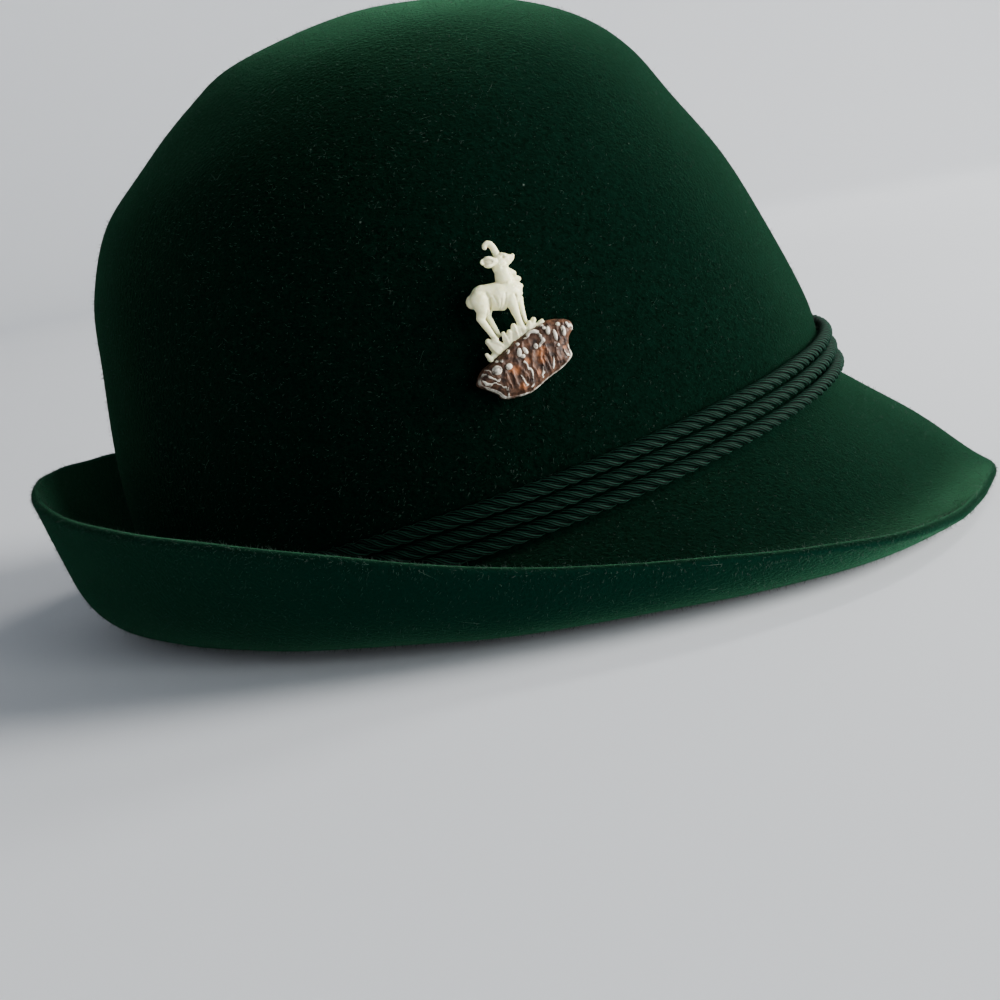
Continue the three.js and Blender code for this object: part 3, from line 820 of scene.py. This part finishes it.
# Pearls: place along and up, half width, half height, turn in degrees and rise off the face.
PEARLS = np.array([
    (-8.05, -0.55, 1.25, 1.18, 0, 1.3),
    (-5.14, -0.7, 0.88, 0.8, 0, 0.95),
    (-1.6, 1.55, 0.62, 1.15, -14, 0.9),
    (-0.1, 1.45, 0.52, 1, 20, 0.9),
    (-1.1, 0.4, 0.6, 0.55, 0, 0.7),
    (2.61, 1.59, 0.6, 0.75, 0, 0.8),
    (6.05, 5, 0.5, 0.55, 0, 0.8),
    (6.65, 4.1, 0.62, 1.25, -14, 1),
    (9.63, 4.61, 0.6, 0.52, 0, 0.7),
    (8, 2.4, 0.46, 1.5, -4, 0.8),
    (10.25, 2.7, 0.62, 1.35, -8, 0.9),
    (11.85, 3.7, 0.45, 0.85, 10, 0.7),
    (7.95, 0, 0.34, 0.4, 0, 0.4),
    (-6.25, 1.15, 0.44, 0.44, 0, 0.6),
    (-3.95, 2.7, 0.36, 0.62, -30, 0.7),
    (-1.25, 3.5, 0.5, 0.42, 0, 0.6),
    (-7.25, 1.4, 0.4, 0.34, 0, 0.6),
])
# Ribs: where one stretch starts and ends, along and up, its half width, its rise off the face
# and its whiteness.
RIBS = np.array([
    (-1.25, -1, -0.8, -2.4, 0.2, 0.4, 1),
    (-0.8, -2.4, -0.25, -3.4, 0.26, 0.4, 1),
    (-0.25, -3.4, -0.35, -4.6, 0.3, 0.4, 1),
    (-0.35, -4.6, -0.85, -6.1, 0.26, 0.35, 0.95),
    (-0.85, -6.1, -1.35, -7.1, 0.26, 0.3, 0.9),
    (-3.05, -3.6, -2.95, -4.8, 0.2, 0.35, 0.8),
    (-2.95, -4.8, -2.35, -6.4, 0.28, 0.35, 0.95),
    (2.4, -3.5, 2.25, -4.7, 0.18, 0.3, 0.8),
    (2.25, -4.7, 1.95, -5.8, 0.26, 0.35, 0.95),
    (5.85, -2, 5.65, -3.2, 0.18, 0.35, 0.9),
    (5.65, -3.2, 4.95, -4.5, 0.28, 0.35, 0.95),
    (8.95, -1.4, 9.25, -2.7, 0.2, 0.35, 0.85),
    (9.25, -2.7, 9.65, -3.4, 0.3, 0.35, 0.95),
    (-6.95, -5.4, -7.25, -6.8, 0.24, 0.35, 0.85),
    (-7.25, -6.8, -7.45, -7.4, 0.3, 0.35, 0.9),
    (0.85, -0.1, 0.45, -2.4, 0.34, 0.3, 0),
    (0.45, -2.4, 0.85, -5.4, 0.3, 0.3, 0.05),
    (3.85, -1.1, 3.95, -4.6, 0.34, 0.34, 0.1),
    (7.05, -0.4, 7.15, -4, 0.32, 0.32, 0.15),
    (4.85, 1.2, 4.65, -1.4, 0.34, 0.34, 0.1),
    (-2.05, -2.4, -1.75, -5.6, 0.3, 0.3, 0),
    (-4.65, -2.4, -4.55, -6.4, 0.36, 0.34, 0.1),
    (-6.25, -2.2, -5.95, -5.8, 0.34, 0.3, 0.05),
    (10.25, -0.2, 10.55, -2.2, 0.28, 0.3, 0.3),
    (1.65, 4.8, 2.55, 5.25, 0.5, 0.85, 1),
    (2.55, 5.25, 3.45, 5.1, 0.48, 0.9, 1),
    (3.45, 5.1, 4.25, 4.5, 0.5, 0.95, 1),
    (4.25, 4.5, 4.55, 3.5, 0.46, 0.95, 1),
    (4.55, 3.5, 4.65, 2.5, 0.56, 0.9, 1),
    (4.65, 2.5, 4.05, 1.7, 0.5, 0.8, 1),
    (4.05, 1.7, 3.55, 1.3, 0.3, 0.6, 0.9),
    (1.65, 4.8, 1.05, 4.1, 0.34, 0.6, 0.95),
    (5.25, 5.8, 5.95, 5.5, 0.34, 0.7, 1),
    (12.55, 3.4, 12.95, 2.4, 0.34, 0.4, 0.8),
    (-11.75, -0.7, -10.95, -0.4, 0.3, 0.6, 0.95),
    (-10.95, -0.4, -10.35, -1.5, 0.3, 0.5, 0.95),
    (-10.35, -1.5, -9.25, -2.5, 0.26, 0.4, 0.9),
    (-9.25, -2.5, -8.25, -2.8, 0.24, 0.35, 0.7),
    (-11.95, -1.7, -11.45, -2.7, 0.34, 0.6, 1),
    (-11.45, -2.7, -10.35, -3.2, 0.3, 0.5, 0.95),
    (-10.35, -3.2, -9.35, -3.1, 0.22, 0.4, 0.8),
    (-9.35, -3.1, -8.15, -4.2, 0.2, 0.35, 0.7),
    (-8.15, -4.2, -7.35, -5.6, 0.2, 0.3, 0.6),
    (-10.55, 0.3, -9.45, -0.2, 0.26, 0.5, 0.6),
    (-9.45, -0.2, -9.25, -1.4, 0.24, 0.4, 0.4),
])
# Amber patches: place along and up, and half width.
AMBER_PATCHES = np.array([
    (-3.75, -2.1, 1.2),
    (-4.75, -1.4, 0.8),
    (3.25, -0.4, 1.1),
    (2.85, -2, 0.9),
    (3.95, 0.4, 0.8),
    (-0.35, -1, 0.9),
    (-3.35, -6.2, 1),
    (1.25, -4.4, 0.7),
    (9.25, -1.1, 0.5),
])


def brooch_frame():
    """The brooch sits square on the crown: towards the hat's front, up the crown and away from
    it, with its origin at the middle of the burr's flat back."""
    spot = spot_at_height(BROOCH_RISE)
    outward = crown_normal(spot, BROOCH_AROUND)
    forward = np.cross((0, 0, 1.0), outward)
    forward /= np.linalg.norm(forward)
    upward = np.cross(outward, forward)
    origin = crown_point(spot, BROOCH_AROUND) + BROOCH_CLEARANCE * outward
    return origin, np.stack([forward, upward, outward])


brooch_origin, brooch_axes = brooch_frame()


def on_brooch(points):
    """From the brooch's own frame in mm to the row frame in metres."""
    return stand(points @ brooch_axes + brooch_origin)


def stretch_distance(points, starts, ends):
    """Distance from each point to each straight stretch between a start and an end."""
    along = ends - starts
    offset = points[..., None, :] - starts
    share = np.clip((offset * along).sum(-1) / (along * along).sum(-1), 0, 1)
    return np.linalg.norm(offset - share[..., None] * along, axis=-1)


def ripple(points, size, waves, seed):
    """One smooth random height between about -1 and 1: the first part of an unevenness."""
    flat = np.concatenate([points, np.zeros(points.shape[:-1] + (1,))], -1)
    return uneven(flat, size, waves, seed)[..., 0]


def burr_relief(points):
    """Rise over the face, whiteness and amber share: half-round pearls and ribs that stand on a
    ground furrowed downwards."""
    turn = np.radians(PEARLS[:, 4])
    offset = points[..., None, :] - PEARLS[:, :2]
    wide = (offset[..., 0] * np.cos(turn) + offset[..., 1] * np.sin(turn)) / PEARLS[:, 2]
    tall = (offset[..., 1] * np.cos(turn) - offset[..., 0] * np.sin(turn)) / PEARLS[:, 3]
    inside = np.maximum(1 - wide**2 - tall**2, 0)
    pearl_rise = (PEARLS[:, 5] * inside**0.5).max(-1)
    pearl_white = smoothstep(inside, 0.0, 0.22).max(-1)
    wander = np.stack([ripple(points, *WANDER_ALONG), ripple(points, *WANDER_UP)], -1)
    wander = RIB_WANDER * wander
    swell = 1 + RIB_SWELL * ripple(points, *SWELLING)[..., None]
    away = stretch_distance(points + wander, RIBS[:, :2], RIBS[:, 2:4]) / RIBS[:, 4] / swell
    rib = np.maximum(1 - away**2, 0)
    rib_rise = (RIBS[:, 5] * rib**0.6).max(-1)
    rib_white = (RIBS[:, 6] * smoothstep(rib, 0.05, 0.6)).max(-1)
    furrows = ripple(points * (1.0, 0.3), *FURROWS)
    ground = FURROW_DEPTH * furrows + GRIT_DEPTH * ripple(points, *GRIT)
    high = np.maximum(pearl_rise, rib_rise)
    rise = np.maximum(high + GROUND_UNDER_PEARLS * ground, ground)
    off = np.linalg.norm(points[..., None, :] - AMBER_PATCHES[:, :2], axis=-1)
    amber = np.exp(-((off / AMBER_PATCHES[:, 2]) ** 2)).max(-1)
    return rise, np.maximum(pearl_white, rib_white), amber


def burr_rings():
    """Rings over the face from the middle out, over the rounded rim and in along the back, with
    the whiteness and amber share of every point."""
    loop = BURR_OUTLINE * (BURR_LENGTH, BURR_HEIGHT)
    rows = np.concatenate([loop[-1:], loop, loop[:3]])
    outline = along_table(rows, np.arange(BURR_COLUMNS) / BURR_COLUMNS * len(loop))
    share = np.linspace(0, 1, BURR_RINGS + 1)[1:, None] ** BURR_RING_SPREAD
    spots = BURR_MIDDLE + share[..., None] * (outline - BURR_MIDDLE)
    rise, white, amber = burr_relief(spots)
    sawn = smoothstep(share, SAWN_RIM, SAWN_RIM + 0.02) * smoothstep(-spots[..., 1], -0.5, 2.0)
    inward = 1 - smoothstep(share, 0.97, 1.0)
    dome = BURR_FACE - RIM_DROP * share**RIM_SHARPNESS
    dome = dome + rise * inward + SAWN_RISE * sawn * inward
    sawn_white = SAWN_WHITE[0] + SAWN_WHITE[1] * ripple(spots, *SAWN_PATCHES)
    white = np.maximum(white, sawn * sawn_white)
    face = np.concatenate([spots, dome[..., None]], -1)
    rim = dome[-1]
    down = np.linspace(1, 0, WALL_RINGS)[1:, None]
    bulge = 1 - WALL_WAIST * (1 - np.sin(np.pi * down))
    bulge = bulge + WALL_RIDGE * np.sin(down * WALL_RIDGE_TURN)
    wall = BURR_MIDDLE + bulge[..., None] * (outline - BURR_MIDDLE)
    wall = np.concatenate([wall, (down * rim)[..., None]], -1)
    back = BURR_MIDDLE + BACK_RINGS[:, None, None] * (wall[-1, :, :2] - BURR_MIDDLE)
    back = np.concatenate([back, np.zeros((2, BURR_COLUMNS, 1))], -1)
    behind = len(wall) + len(back)
    wall_white = WALL_WHITE * smoothstep(down, 0.5, 1.0) * sawn[-1]
    white = np.concatenate([white, wall_white, np.zeros((len(back), BURR_COLUMNS))])
    amber = np.concatenate([amber, np.zeros((behind, BURR_COLUMNS))])
    return np.concatenate([face, wall, back]), white, amber


burr_shape, burr_white, burr_amber = burr_rings()
burr_poles = np.array([(*BURR_MIDDLE, burr_shape[0, :, 2].mean()), (*BURR_MIDDLE, 0.0)])
burr_mesh = ring_mesh("antler_rose", on_brooch(burr_shape), on_brooch(burr_poles))
for layer, amount in (("whiteness", burr_white), ("amber", burr_amber)):
    paint(burr_mesh, layer, np.append(amount, [amount[0].mean(), 0]))

antler, antler_tree, antler_shader = new_material("antler_burr", Specular_IOR_Level=0.3)
antler_place = object_place(antler_tree)
mottle = noise(antler_tree, antler_place, ANTLER_PATCHES, Detail=5.0)
pores = noise(antler_tree, antler_place, ANTLER_PORES, Detail=3.0, Roughness=0.7)
amber_share = rescale(antler_tree, painted(antler_tree, "amber"), 0.2, 0.95, 0.0, 0.85)
broken = rescale(antler_tree, mottle, 0.34, 0.58, 0.35, 1.15)
white_share = times(antler_tree, painted(antler_tree, "whiteness"), broken)
antler_colour = layer_colours(
    antler_tree,
    blend_colours(antler_tree, rescale(antler_tree, mottle, 0.36, 0.66), ANTLER_DARK, ANTLER_BROWN),
    (amber_share, ANTLER_AMBER),
    (rescale(antler_tree, white_share, 0.3, 0.85), ANTLER_WHITE),
)
antler_rough = rescale(antler_tree, pores, 0.3, 0.7, 0.42, 0.68)
finish_surface(antler_tree, antler_shader, antler_colour, antler_rough, pores, 0.4, ANTLER_RELIEF)
antler_rose = place("antler_rose", burr_mesh, antler)
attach(antler_rose, "root")
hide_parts("brooch_burr")

# Brooch, the chamois: cut from one piece of bone with knife and burr, polished, and pegged on
# the rose. Its limbs are carved round and run into each other, and its rocks are left faceted.
CHAMOIS_HEIGHT = 25.4
CHAMOIS_ALONG = 0.7
CHAMOIS_FOOT = 4.65
CHAMOIS_OUT = 3.5
CHAMOIS_FLATNESS = 0.8
CARVING_VOXEL = 0.16
LIMB_END_RINGS = 8
POLISH_STEPS = 3
KNIFE_MARKS = (1.3, 24, 81)
KNIFE_DEPTH = 0.035
# Depth, as a share of the height, at which a knife cut is coloured darkest.
CUT_DARKENING_DEPTH = 0.016
ROCKS_TOP = 0.13
ROCKS_FOOT = 0.05
BONE_GRAIN = 900.0
BONE_RELIEF = 0.0002
BONE_YELLOW = (0.98, 0.94, 0.5, 1)
BONE_PALE = (1.0, 0.98, 0.62, 1)
BONE_ROCKS = (0.62, 0.6, 0.39, 1)
# Colour laid in the knife cuts, darker the deeper they sink.
BONE_CUT_DARKENING = (0.3, 0.25, 0.16, 1)
# Limbs as shares of the height: along, up, out and radius at one end, then at the other, and
# the number of faces round each.
CHAMOIS_LIMBS = np.array([
    (-0.313, 0.462, 0, 0.07, -0.219, 0.483, 0, 0.103, 24),
    (-0.219, 0.483, 0, 0.103, -0.07, 0.43, 0, 0.133, 24),
    (-0.07, 0.43, 0, 0.133, 0.042, 0.425, 0, 0.112, 24),
    (0.042, 0.425, 0, 0.11, 0.091, 0.439, 0, 0.076, 24),
    (-0.33, 0.47, 0, 0.046, -0.362, 0.47, 0, 0.022, 24),
    (0.033, 0.513, 0, 0.094, 0.036, 0.59, 0, 0.08, 24),
    (0.036, 0.59, 0, 0.08, 0.045, 0.676, 0, 0.066, 24),
    (0.1, 0.62, 0, 0.03, 0.118, 0.6, 0, 0.026, 12),
    (0.039, 0.676, 0, 0.076, 0.057, 0.735, 0, 0.065, 24),
    (0.059, 0.739, 0, 0.063, 0.106, 0.732, 0, 0.055, 24),
    (0.106, 0.731, 0, 0.055, 0.165, 0.724, 0, 0.032, 24),
    (0.165, 0.726, 0, 0.031, 0.191, 0.741, 0, 0.016, 24),
    (0.088, 0.691, 0, 0.038, 0.148, 0.704, 0, 0.023, 24),
    (0.087, 0.775, 0.03, 0.027, 0.106, 0.77, 0.04, 0.019, 24),
    (-0.005, 0.744, 0.05, 0.036, -0.062, 0.753, 0.07, 0.056, 24),
    (-0.062, 0.753, 0.07, 0.056, -0.112, 0.768, 0.085, 0.028, 24),
    (0.032, 0.763, -0.04, 0.021, -0.011, 0.788, -0.06, 0.019, 24),
    (0.048, 0.795, 0, 0.034, 0.04, 0.86, 0, 0.032, 24),
    (0.04, 0.86, 0, 0.032, 0.025, 0.903, 0, 0.031, 24),
    (0.025, 0.903, 0, 0.031, -0.001, 0.922, 0, 0.028, 24),
    (-0.001, 0.922, 0, 0.028, -0.028, 0.912, 0, 0.026, 24),
    (-0.028, 0.912, 0, 0.026, -0.036, 0.893, 0, 0.024, 24),
    (0.115, 0.599, 0, 0.036, 0.14, 0.583, 0, 0.024, 12),
    (0.13, 0.535, 0, 0.038, 0.162, 0.518, 0, 0.026, 12),
    (0.119, 0.476, 0, 0.04, 0.158, 0.45, 0, 0.026, 12),
    (0.097, 0.422, 0, 0.04, 0.132, 0.388, 0, 0.024, 12),
    (-0.259, 0.453, 0.04, 0.097, -0.264, 0.356, 0.05, 0.065, 24),
    (-0.264, 0.356, 0.05, 0.063, -0.313, 0.293, 0.05, 0.04, 24),
    (-0.313, 0.293, 0.05, 0.039, -0.258, 0.104, 0.04, 0.027, 24),
    (-0.258, 0.104, 0.04, 0.028, -0.247, 0.071, 0.04, 0.034, 12),
    (-0.19, 0.39, -0.05, 0.055, -0.223, 0.292, -0.05, 0.032, 24),
    (-0.224, 0.29, -0.05, 0.03, -0.189, 0.09, -0.04, 0.02, 24),
    (0.023, 0.383, 0.045, 0.074, 0.019, 0.248, 0.05, 0.042, 24),
    (0.019, 0.248, 0.05, 0.041, 0.024, 0.11, 0.04, 0.027, 24),
    (0.024, 0.11, 0.04, 0.03, 0.031, 0.075, 0.04, 0.032, 12),
    (0.107, 0.346, -0.04, 0.042, 0.097, 0.229, -0.045, 0.026, 24),
    (0.097, 0.229, -0.045, 0.026, 0.094, 0.118, -0.04, 0.018, 24),
    (-0.159, 0.375, 0, 0.053, -0.064, 0.327, 0, 0.038, 24),
    (-0.354, -0.086, 0, 0.027, -0.213, -0.028, 0, 0.038, 7),
    (-0.213, -0.028, 0, 0.04, -0.05, 0.011, 0, 0.044, 7),
    (-0.05, 0.011, 0, 0.044, 0.118, 0.034, 0, 0.038, 7),
    (0.118, 0.034, 0, 0.038, 0.239, 0.064, 0, 0.017, 7),
    (-0.267, -0.026, 0.02, 0.055, -0.315, 0.066, 0.03, 0.034, 5),
    (-0.229, 0.004, 0.03, 0.042, -0.268, 0.06, 0.05, 0.026, 4),
    (-0.353, -0.087, 0.02, 0.032, -0.374, -0.04, 0.03, 0.02, 5),
    (-0.156, 0.015, 0.03, 0.042, -0.162, 0.088, 0.05, 0.025, 4),
    (-0.13, 0.022, 0.03, 0.038, -0.104, 0.084, 0.05, 0.026, 5),
    (-0.048, 0.031, 0.03, 0.042, -0.048, 0.115, 0.05, 0.036, 4),
    (-0.023, 0.038, 0.02, 0.036, -0.008, 0.092, 0.04, 0.032, 5),
    (0.103, 0.054, 0, 0.036, 0.158, 0.112, 0.01, 0.03, 4),
    (0.084, 0.064, 0.03, 0.032, 0.104, 0.1, 0.05, 0.026, 5),
    (0.173, 0.053, 0, 0.025, 0.232, 0.08, 0, 0.02, 4),
])
# Cuts of the knife, as shares of the height: where one stretch starts and ends, along and up,
# its half width and its depth.
CHAMOIS_CUTS = np.array([
    (-0.187, 0.489, -0.176, 0.43, 0.013, 0.011),
    (-0.176, 0.43, -0.181, 0.377, 0.014, 0.016),
    (-0.181, 0.377, -0.201, 0.33, 0.014, 0.018),
    (-0.135, 0.448, -0.124, 0.395, 0.009, 0.005),
    (-0.124, 0.395, -0.125, 0.346, 0.009, 0.006),
    (-0.079, 0.395, -0.093, 0.345, 0.009, 0.006),
    (-0.093, 0.345, -0.111, 0.31, 0.009, 0.006),
    (-0.02, 0.43, -0.035, 0.38, 0.012, 0.008),
    (-0.035, 0.38, -0.057, 0.34, 0.013, 0.013),
    (-0.057, 0.34, -0.088, 0.312, 0.012, 0.01),
    (0.049, 0.666, 0.08, 0.664, 0.01, 0.01),
    (0.08, 0.664, 0.107, 0.672, 0.01, 0.01),
    (0.066, 0.387, 0.07, 0.287, 0.011, 0.016),
    (0.07, 0.287, 0.062, 0.202, 0.009, 0.02),
    (0.062, 0.202, 0.06, 0.115, 0.008, 0.02),
    (-0.23, 0.335, -0.27, 0.27, 0.01, 0.012),
    (-0.27, 0.27, -0.242, 0.172, 0.008, 0.02),
    (-0.242, 0.172, -0.219, 0.076, 0.008, 0.02),
    (0.04, 0.702, 0.073, 0.699, 0.008, 0.006),
    (-0.059, 0.553, -0.025, 0.53, 0.01, 0.006),
    (-0.025, 0.53, 0.027, 0.519, 0.01, 0.006),
    (0.09, 0.585, 0.14, 0.56, 0.008, 0.008),
    (0.095, 0.52, 0.155, 0.492, 0.008, 0.008),
    (0.09, 0.463, 0.15, 0.43, 0.008, 0.008),
    (-0.04, 0.75, -0.098, 0.764, 0.024, 0.03),
    (0.088, 0.752, 0.092, 0.753, 0.011, 0.016),
    (0.183, 0.742, 0.186, 0.744, 0.006, 0.008),
    (0.14, 0.716, 0.18, 0.722, 0.005, 0.006),
])


def limb_points(limb, rings):
    """Round-ended tapered limb: circles along its axis whose radius follows a half circle at
    each end and runs straight between them."""
    start, finish, columns = limb[:3], limb[4:7], round(limb[8])
    axis = finish - start
    length = np.linalg.norm(axis)
    axis = axis / length
    side = np.cross(axis, (0.3, 0.2, 0.9))
    side /= np.linalg.norm(side)
    other = np.cross(axis, side)
    tilt = np.linspace(-np.pi / 2, 0, rings)
    along = np.concatenate([limb[3] * np.sin(tilt), length + limb[7] * np.sin(-tilt[::-1])])
    radius = np.concatenate([limb[3] * np.cos(tilt), limb[7] * np.cos(tilt[::-1])])
    turn = np.linspace(0, 2 * np.pi, columns, endpoint=False)
    circle = np.cos(turn)[:, None] * side + np.sin(turn)[:, None] * other
    points = start + along[:, None, None] * axis + radius[:, None, None] * circle
    return points[1:-1], points[0, 0], points[-1, 0]


def read_points(mesh, normals=False):
    """All points of a mesh, or their normals, as rows of three."""
    rows = np.empty(len(mesh.vertices) * 3, np.float32)
    if normals:
        mesh.vertex_normals.foreach_get("vector", rows)
    else:
        mesh.vertices.foreach_get("co", rows)
    return rows.reshape(-1, 3).astype(float)


def carve(name):
    """All limbs in one mesh, grown together by a fine voxel remesh and smoothed; then each cut
    sinks the near points by its depth times a bell of the distance, and the brooch's place is
    applied. The depth sunk is kept for the material."""
    squash = np.array([1, 1, CHAMOIS_FLATNESS])
    base = np.array([CHAMOIS_ALONG, CHAMOIS_FOOT, CHAMOIS_OUT])
    gather = bpy.data.meshes.new(name)
    points, faces = [], []
    for limb in CHAMOIS_LIMBS * ([CHAMOIS_HEIGHT] * 8 + [1]):
        body, head, tail = limb_points(limb, LIMB_END_RINGS)
        piece = ring_mesh("limb", body * squash, [head * squash, tail * squash])
        start = len(points)
        points += read_points(piece).tolist()
        faces += [[start + corner for corner in face.vertices] for face in piece.polygons]
        bpy.data.meshes.remove(piece)
    gather.from_pydata(points, [], faces)
    block = bpy.data.objects.new(name, gather)
    bpy.context.scene.collection.objects.link(block)
    remesh = block.modifiers.new("grow_together", "REMESH")
    remesh.mode = "VOXEL"
    remesh.voxel_size = CARVING_VOXEL
    relax = block.modifiers.new("polish", "SMOOTH")
    relax.factor = 0.5
    relax.iterations = POLISH_STEPS
    graph = bpy.context.evaluated_depsgraph_get()
    carved = bpy.data.meshes.new_from_object(block.evaluated_get(graph))
    bpy.data.objects.remove(block)
    whole, facing = read_points(carved), read_points(carved, normals=True)
    cuts = CHAMOIS_CUTS * CHAMOIS_HEIGHT
    away = stretch_distance(whole[:, :2], cuts[:, :2], cuts[:, 2:4]) / cuts[:, 4]
    bell = np.exp(-(away**2))
    towards = smoothstep(facing[:, 2], 0.0, 0.4)
    sunk = (bell * cuts[:, 5]).max(-1) * towards
    whole[:, 2] -= sunk
    whole += KNIFE_DEPTH * ripple(whole[:, :2], *KNIFE_MARKS)[:, None] * facing
    carved.vertices.foreach_set("co", on_brooch(whole + base).ravel())
    carved.polygons.foreach_set("use_smooth", np.ones(len(carved.polygons), bool))
    # The knife cuts are coloured darker by how deep they sink.
    paint(carved, "cut_darkening", np.clip(sunk / (CUT_DARKENING_DEPTH * CHAMOIS_HEIGHT), 0, 1))
    top, foot = ROCKS_TOP * CHAMOIS_HEIGHT, ROCKS_FOOT * CHAMOIS_HEIGHT
    paint(carved, "rocky", smoothstep(whole[:, 1], top, foot))
    carved.update()
    return carved


bone, bone_tree, bone_shader = new_material(
    "carved_bone", Specular_IOR_Level=0.5, Subsurface_Weight=0.12, Subsurface_Scale=0.001
)
bone_grain = noise(bone_tree, object_place(bone_tree), BONE_GRAIN, Detail=3.0)
bone_colour = layer_colours(
    bone_tree,
    blend_colours(bone_tree, rescale(bone_tree, bone_grain, 0.35, 0.65), BONE_YELLOW, BONE_PALE),
    (rescale(bone_tree, painted(bone_tree, "rocky"), 0.0, 1.0, 0.0, 0.8), BONE_ROCKS),
    # darker in the knife cuts, by their depth
    (rescale(bone_tree, painted(bone_tree, "cut_darkening"), 0.1, 1.0, 0.0, 0.6), BONE_CUT_DARKENING),
)
bone_rough = rescale(bone_tree, bone_grain, 0.3, 0.7, 0.28, 0.48)
finish_surface(bone_tree, bone_shader, bone_colour, bone_rough, bone_grain, 0.3, BONE_RELIEF)
chamois = place("carved_chamois", carve("carved_chamois"), bone)
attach(chamois, "root")
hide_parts("brooch_chamois")

# Brooch, the pin: a brass post with a round clutch pressed on it inside the crown. It is the
# CAD solid itself, with brushed metal laid on it.
BRUSH_MARKS = 2500.0
BRUSH_LIE = (0.2, 1, 1)
BRUSH_RELIEF = 0.0001
BRASS_DULL = (0.5, 0.46, 0.36, 1)
BRASS_BRIGHT = (0.72, 0.68, 0.58, 1)

metal, metal_tree, metal_shader = new_material("pin_metal", Metallic=1.0)
metal_lie = {"Vector": object_place(metal_tree), "Scale": BRUSH_LIE}
brushing = noise(metal_tree, add_node(metal_tree, "Mapping", metal_lie).outputs[0], BRUSH_MARKS)
metal_colour = blend_colours(metal_tree, brushing, BRASS_DULL, BRASS_BRIGHT)
metal_rough = rescale(metal_tree, brushing, 0.3, 0.7, 0.25, 0.45)
finish_surface(metal_tree, metal_shader, metal_colour, metal_rough, brushing, 0.2, BRUSH_RELIEF)
pin_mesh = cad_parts["brooch_pin"].data
pin_mesh.materials.clear()
pin_mesh.materials.append(metal)
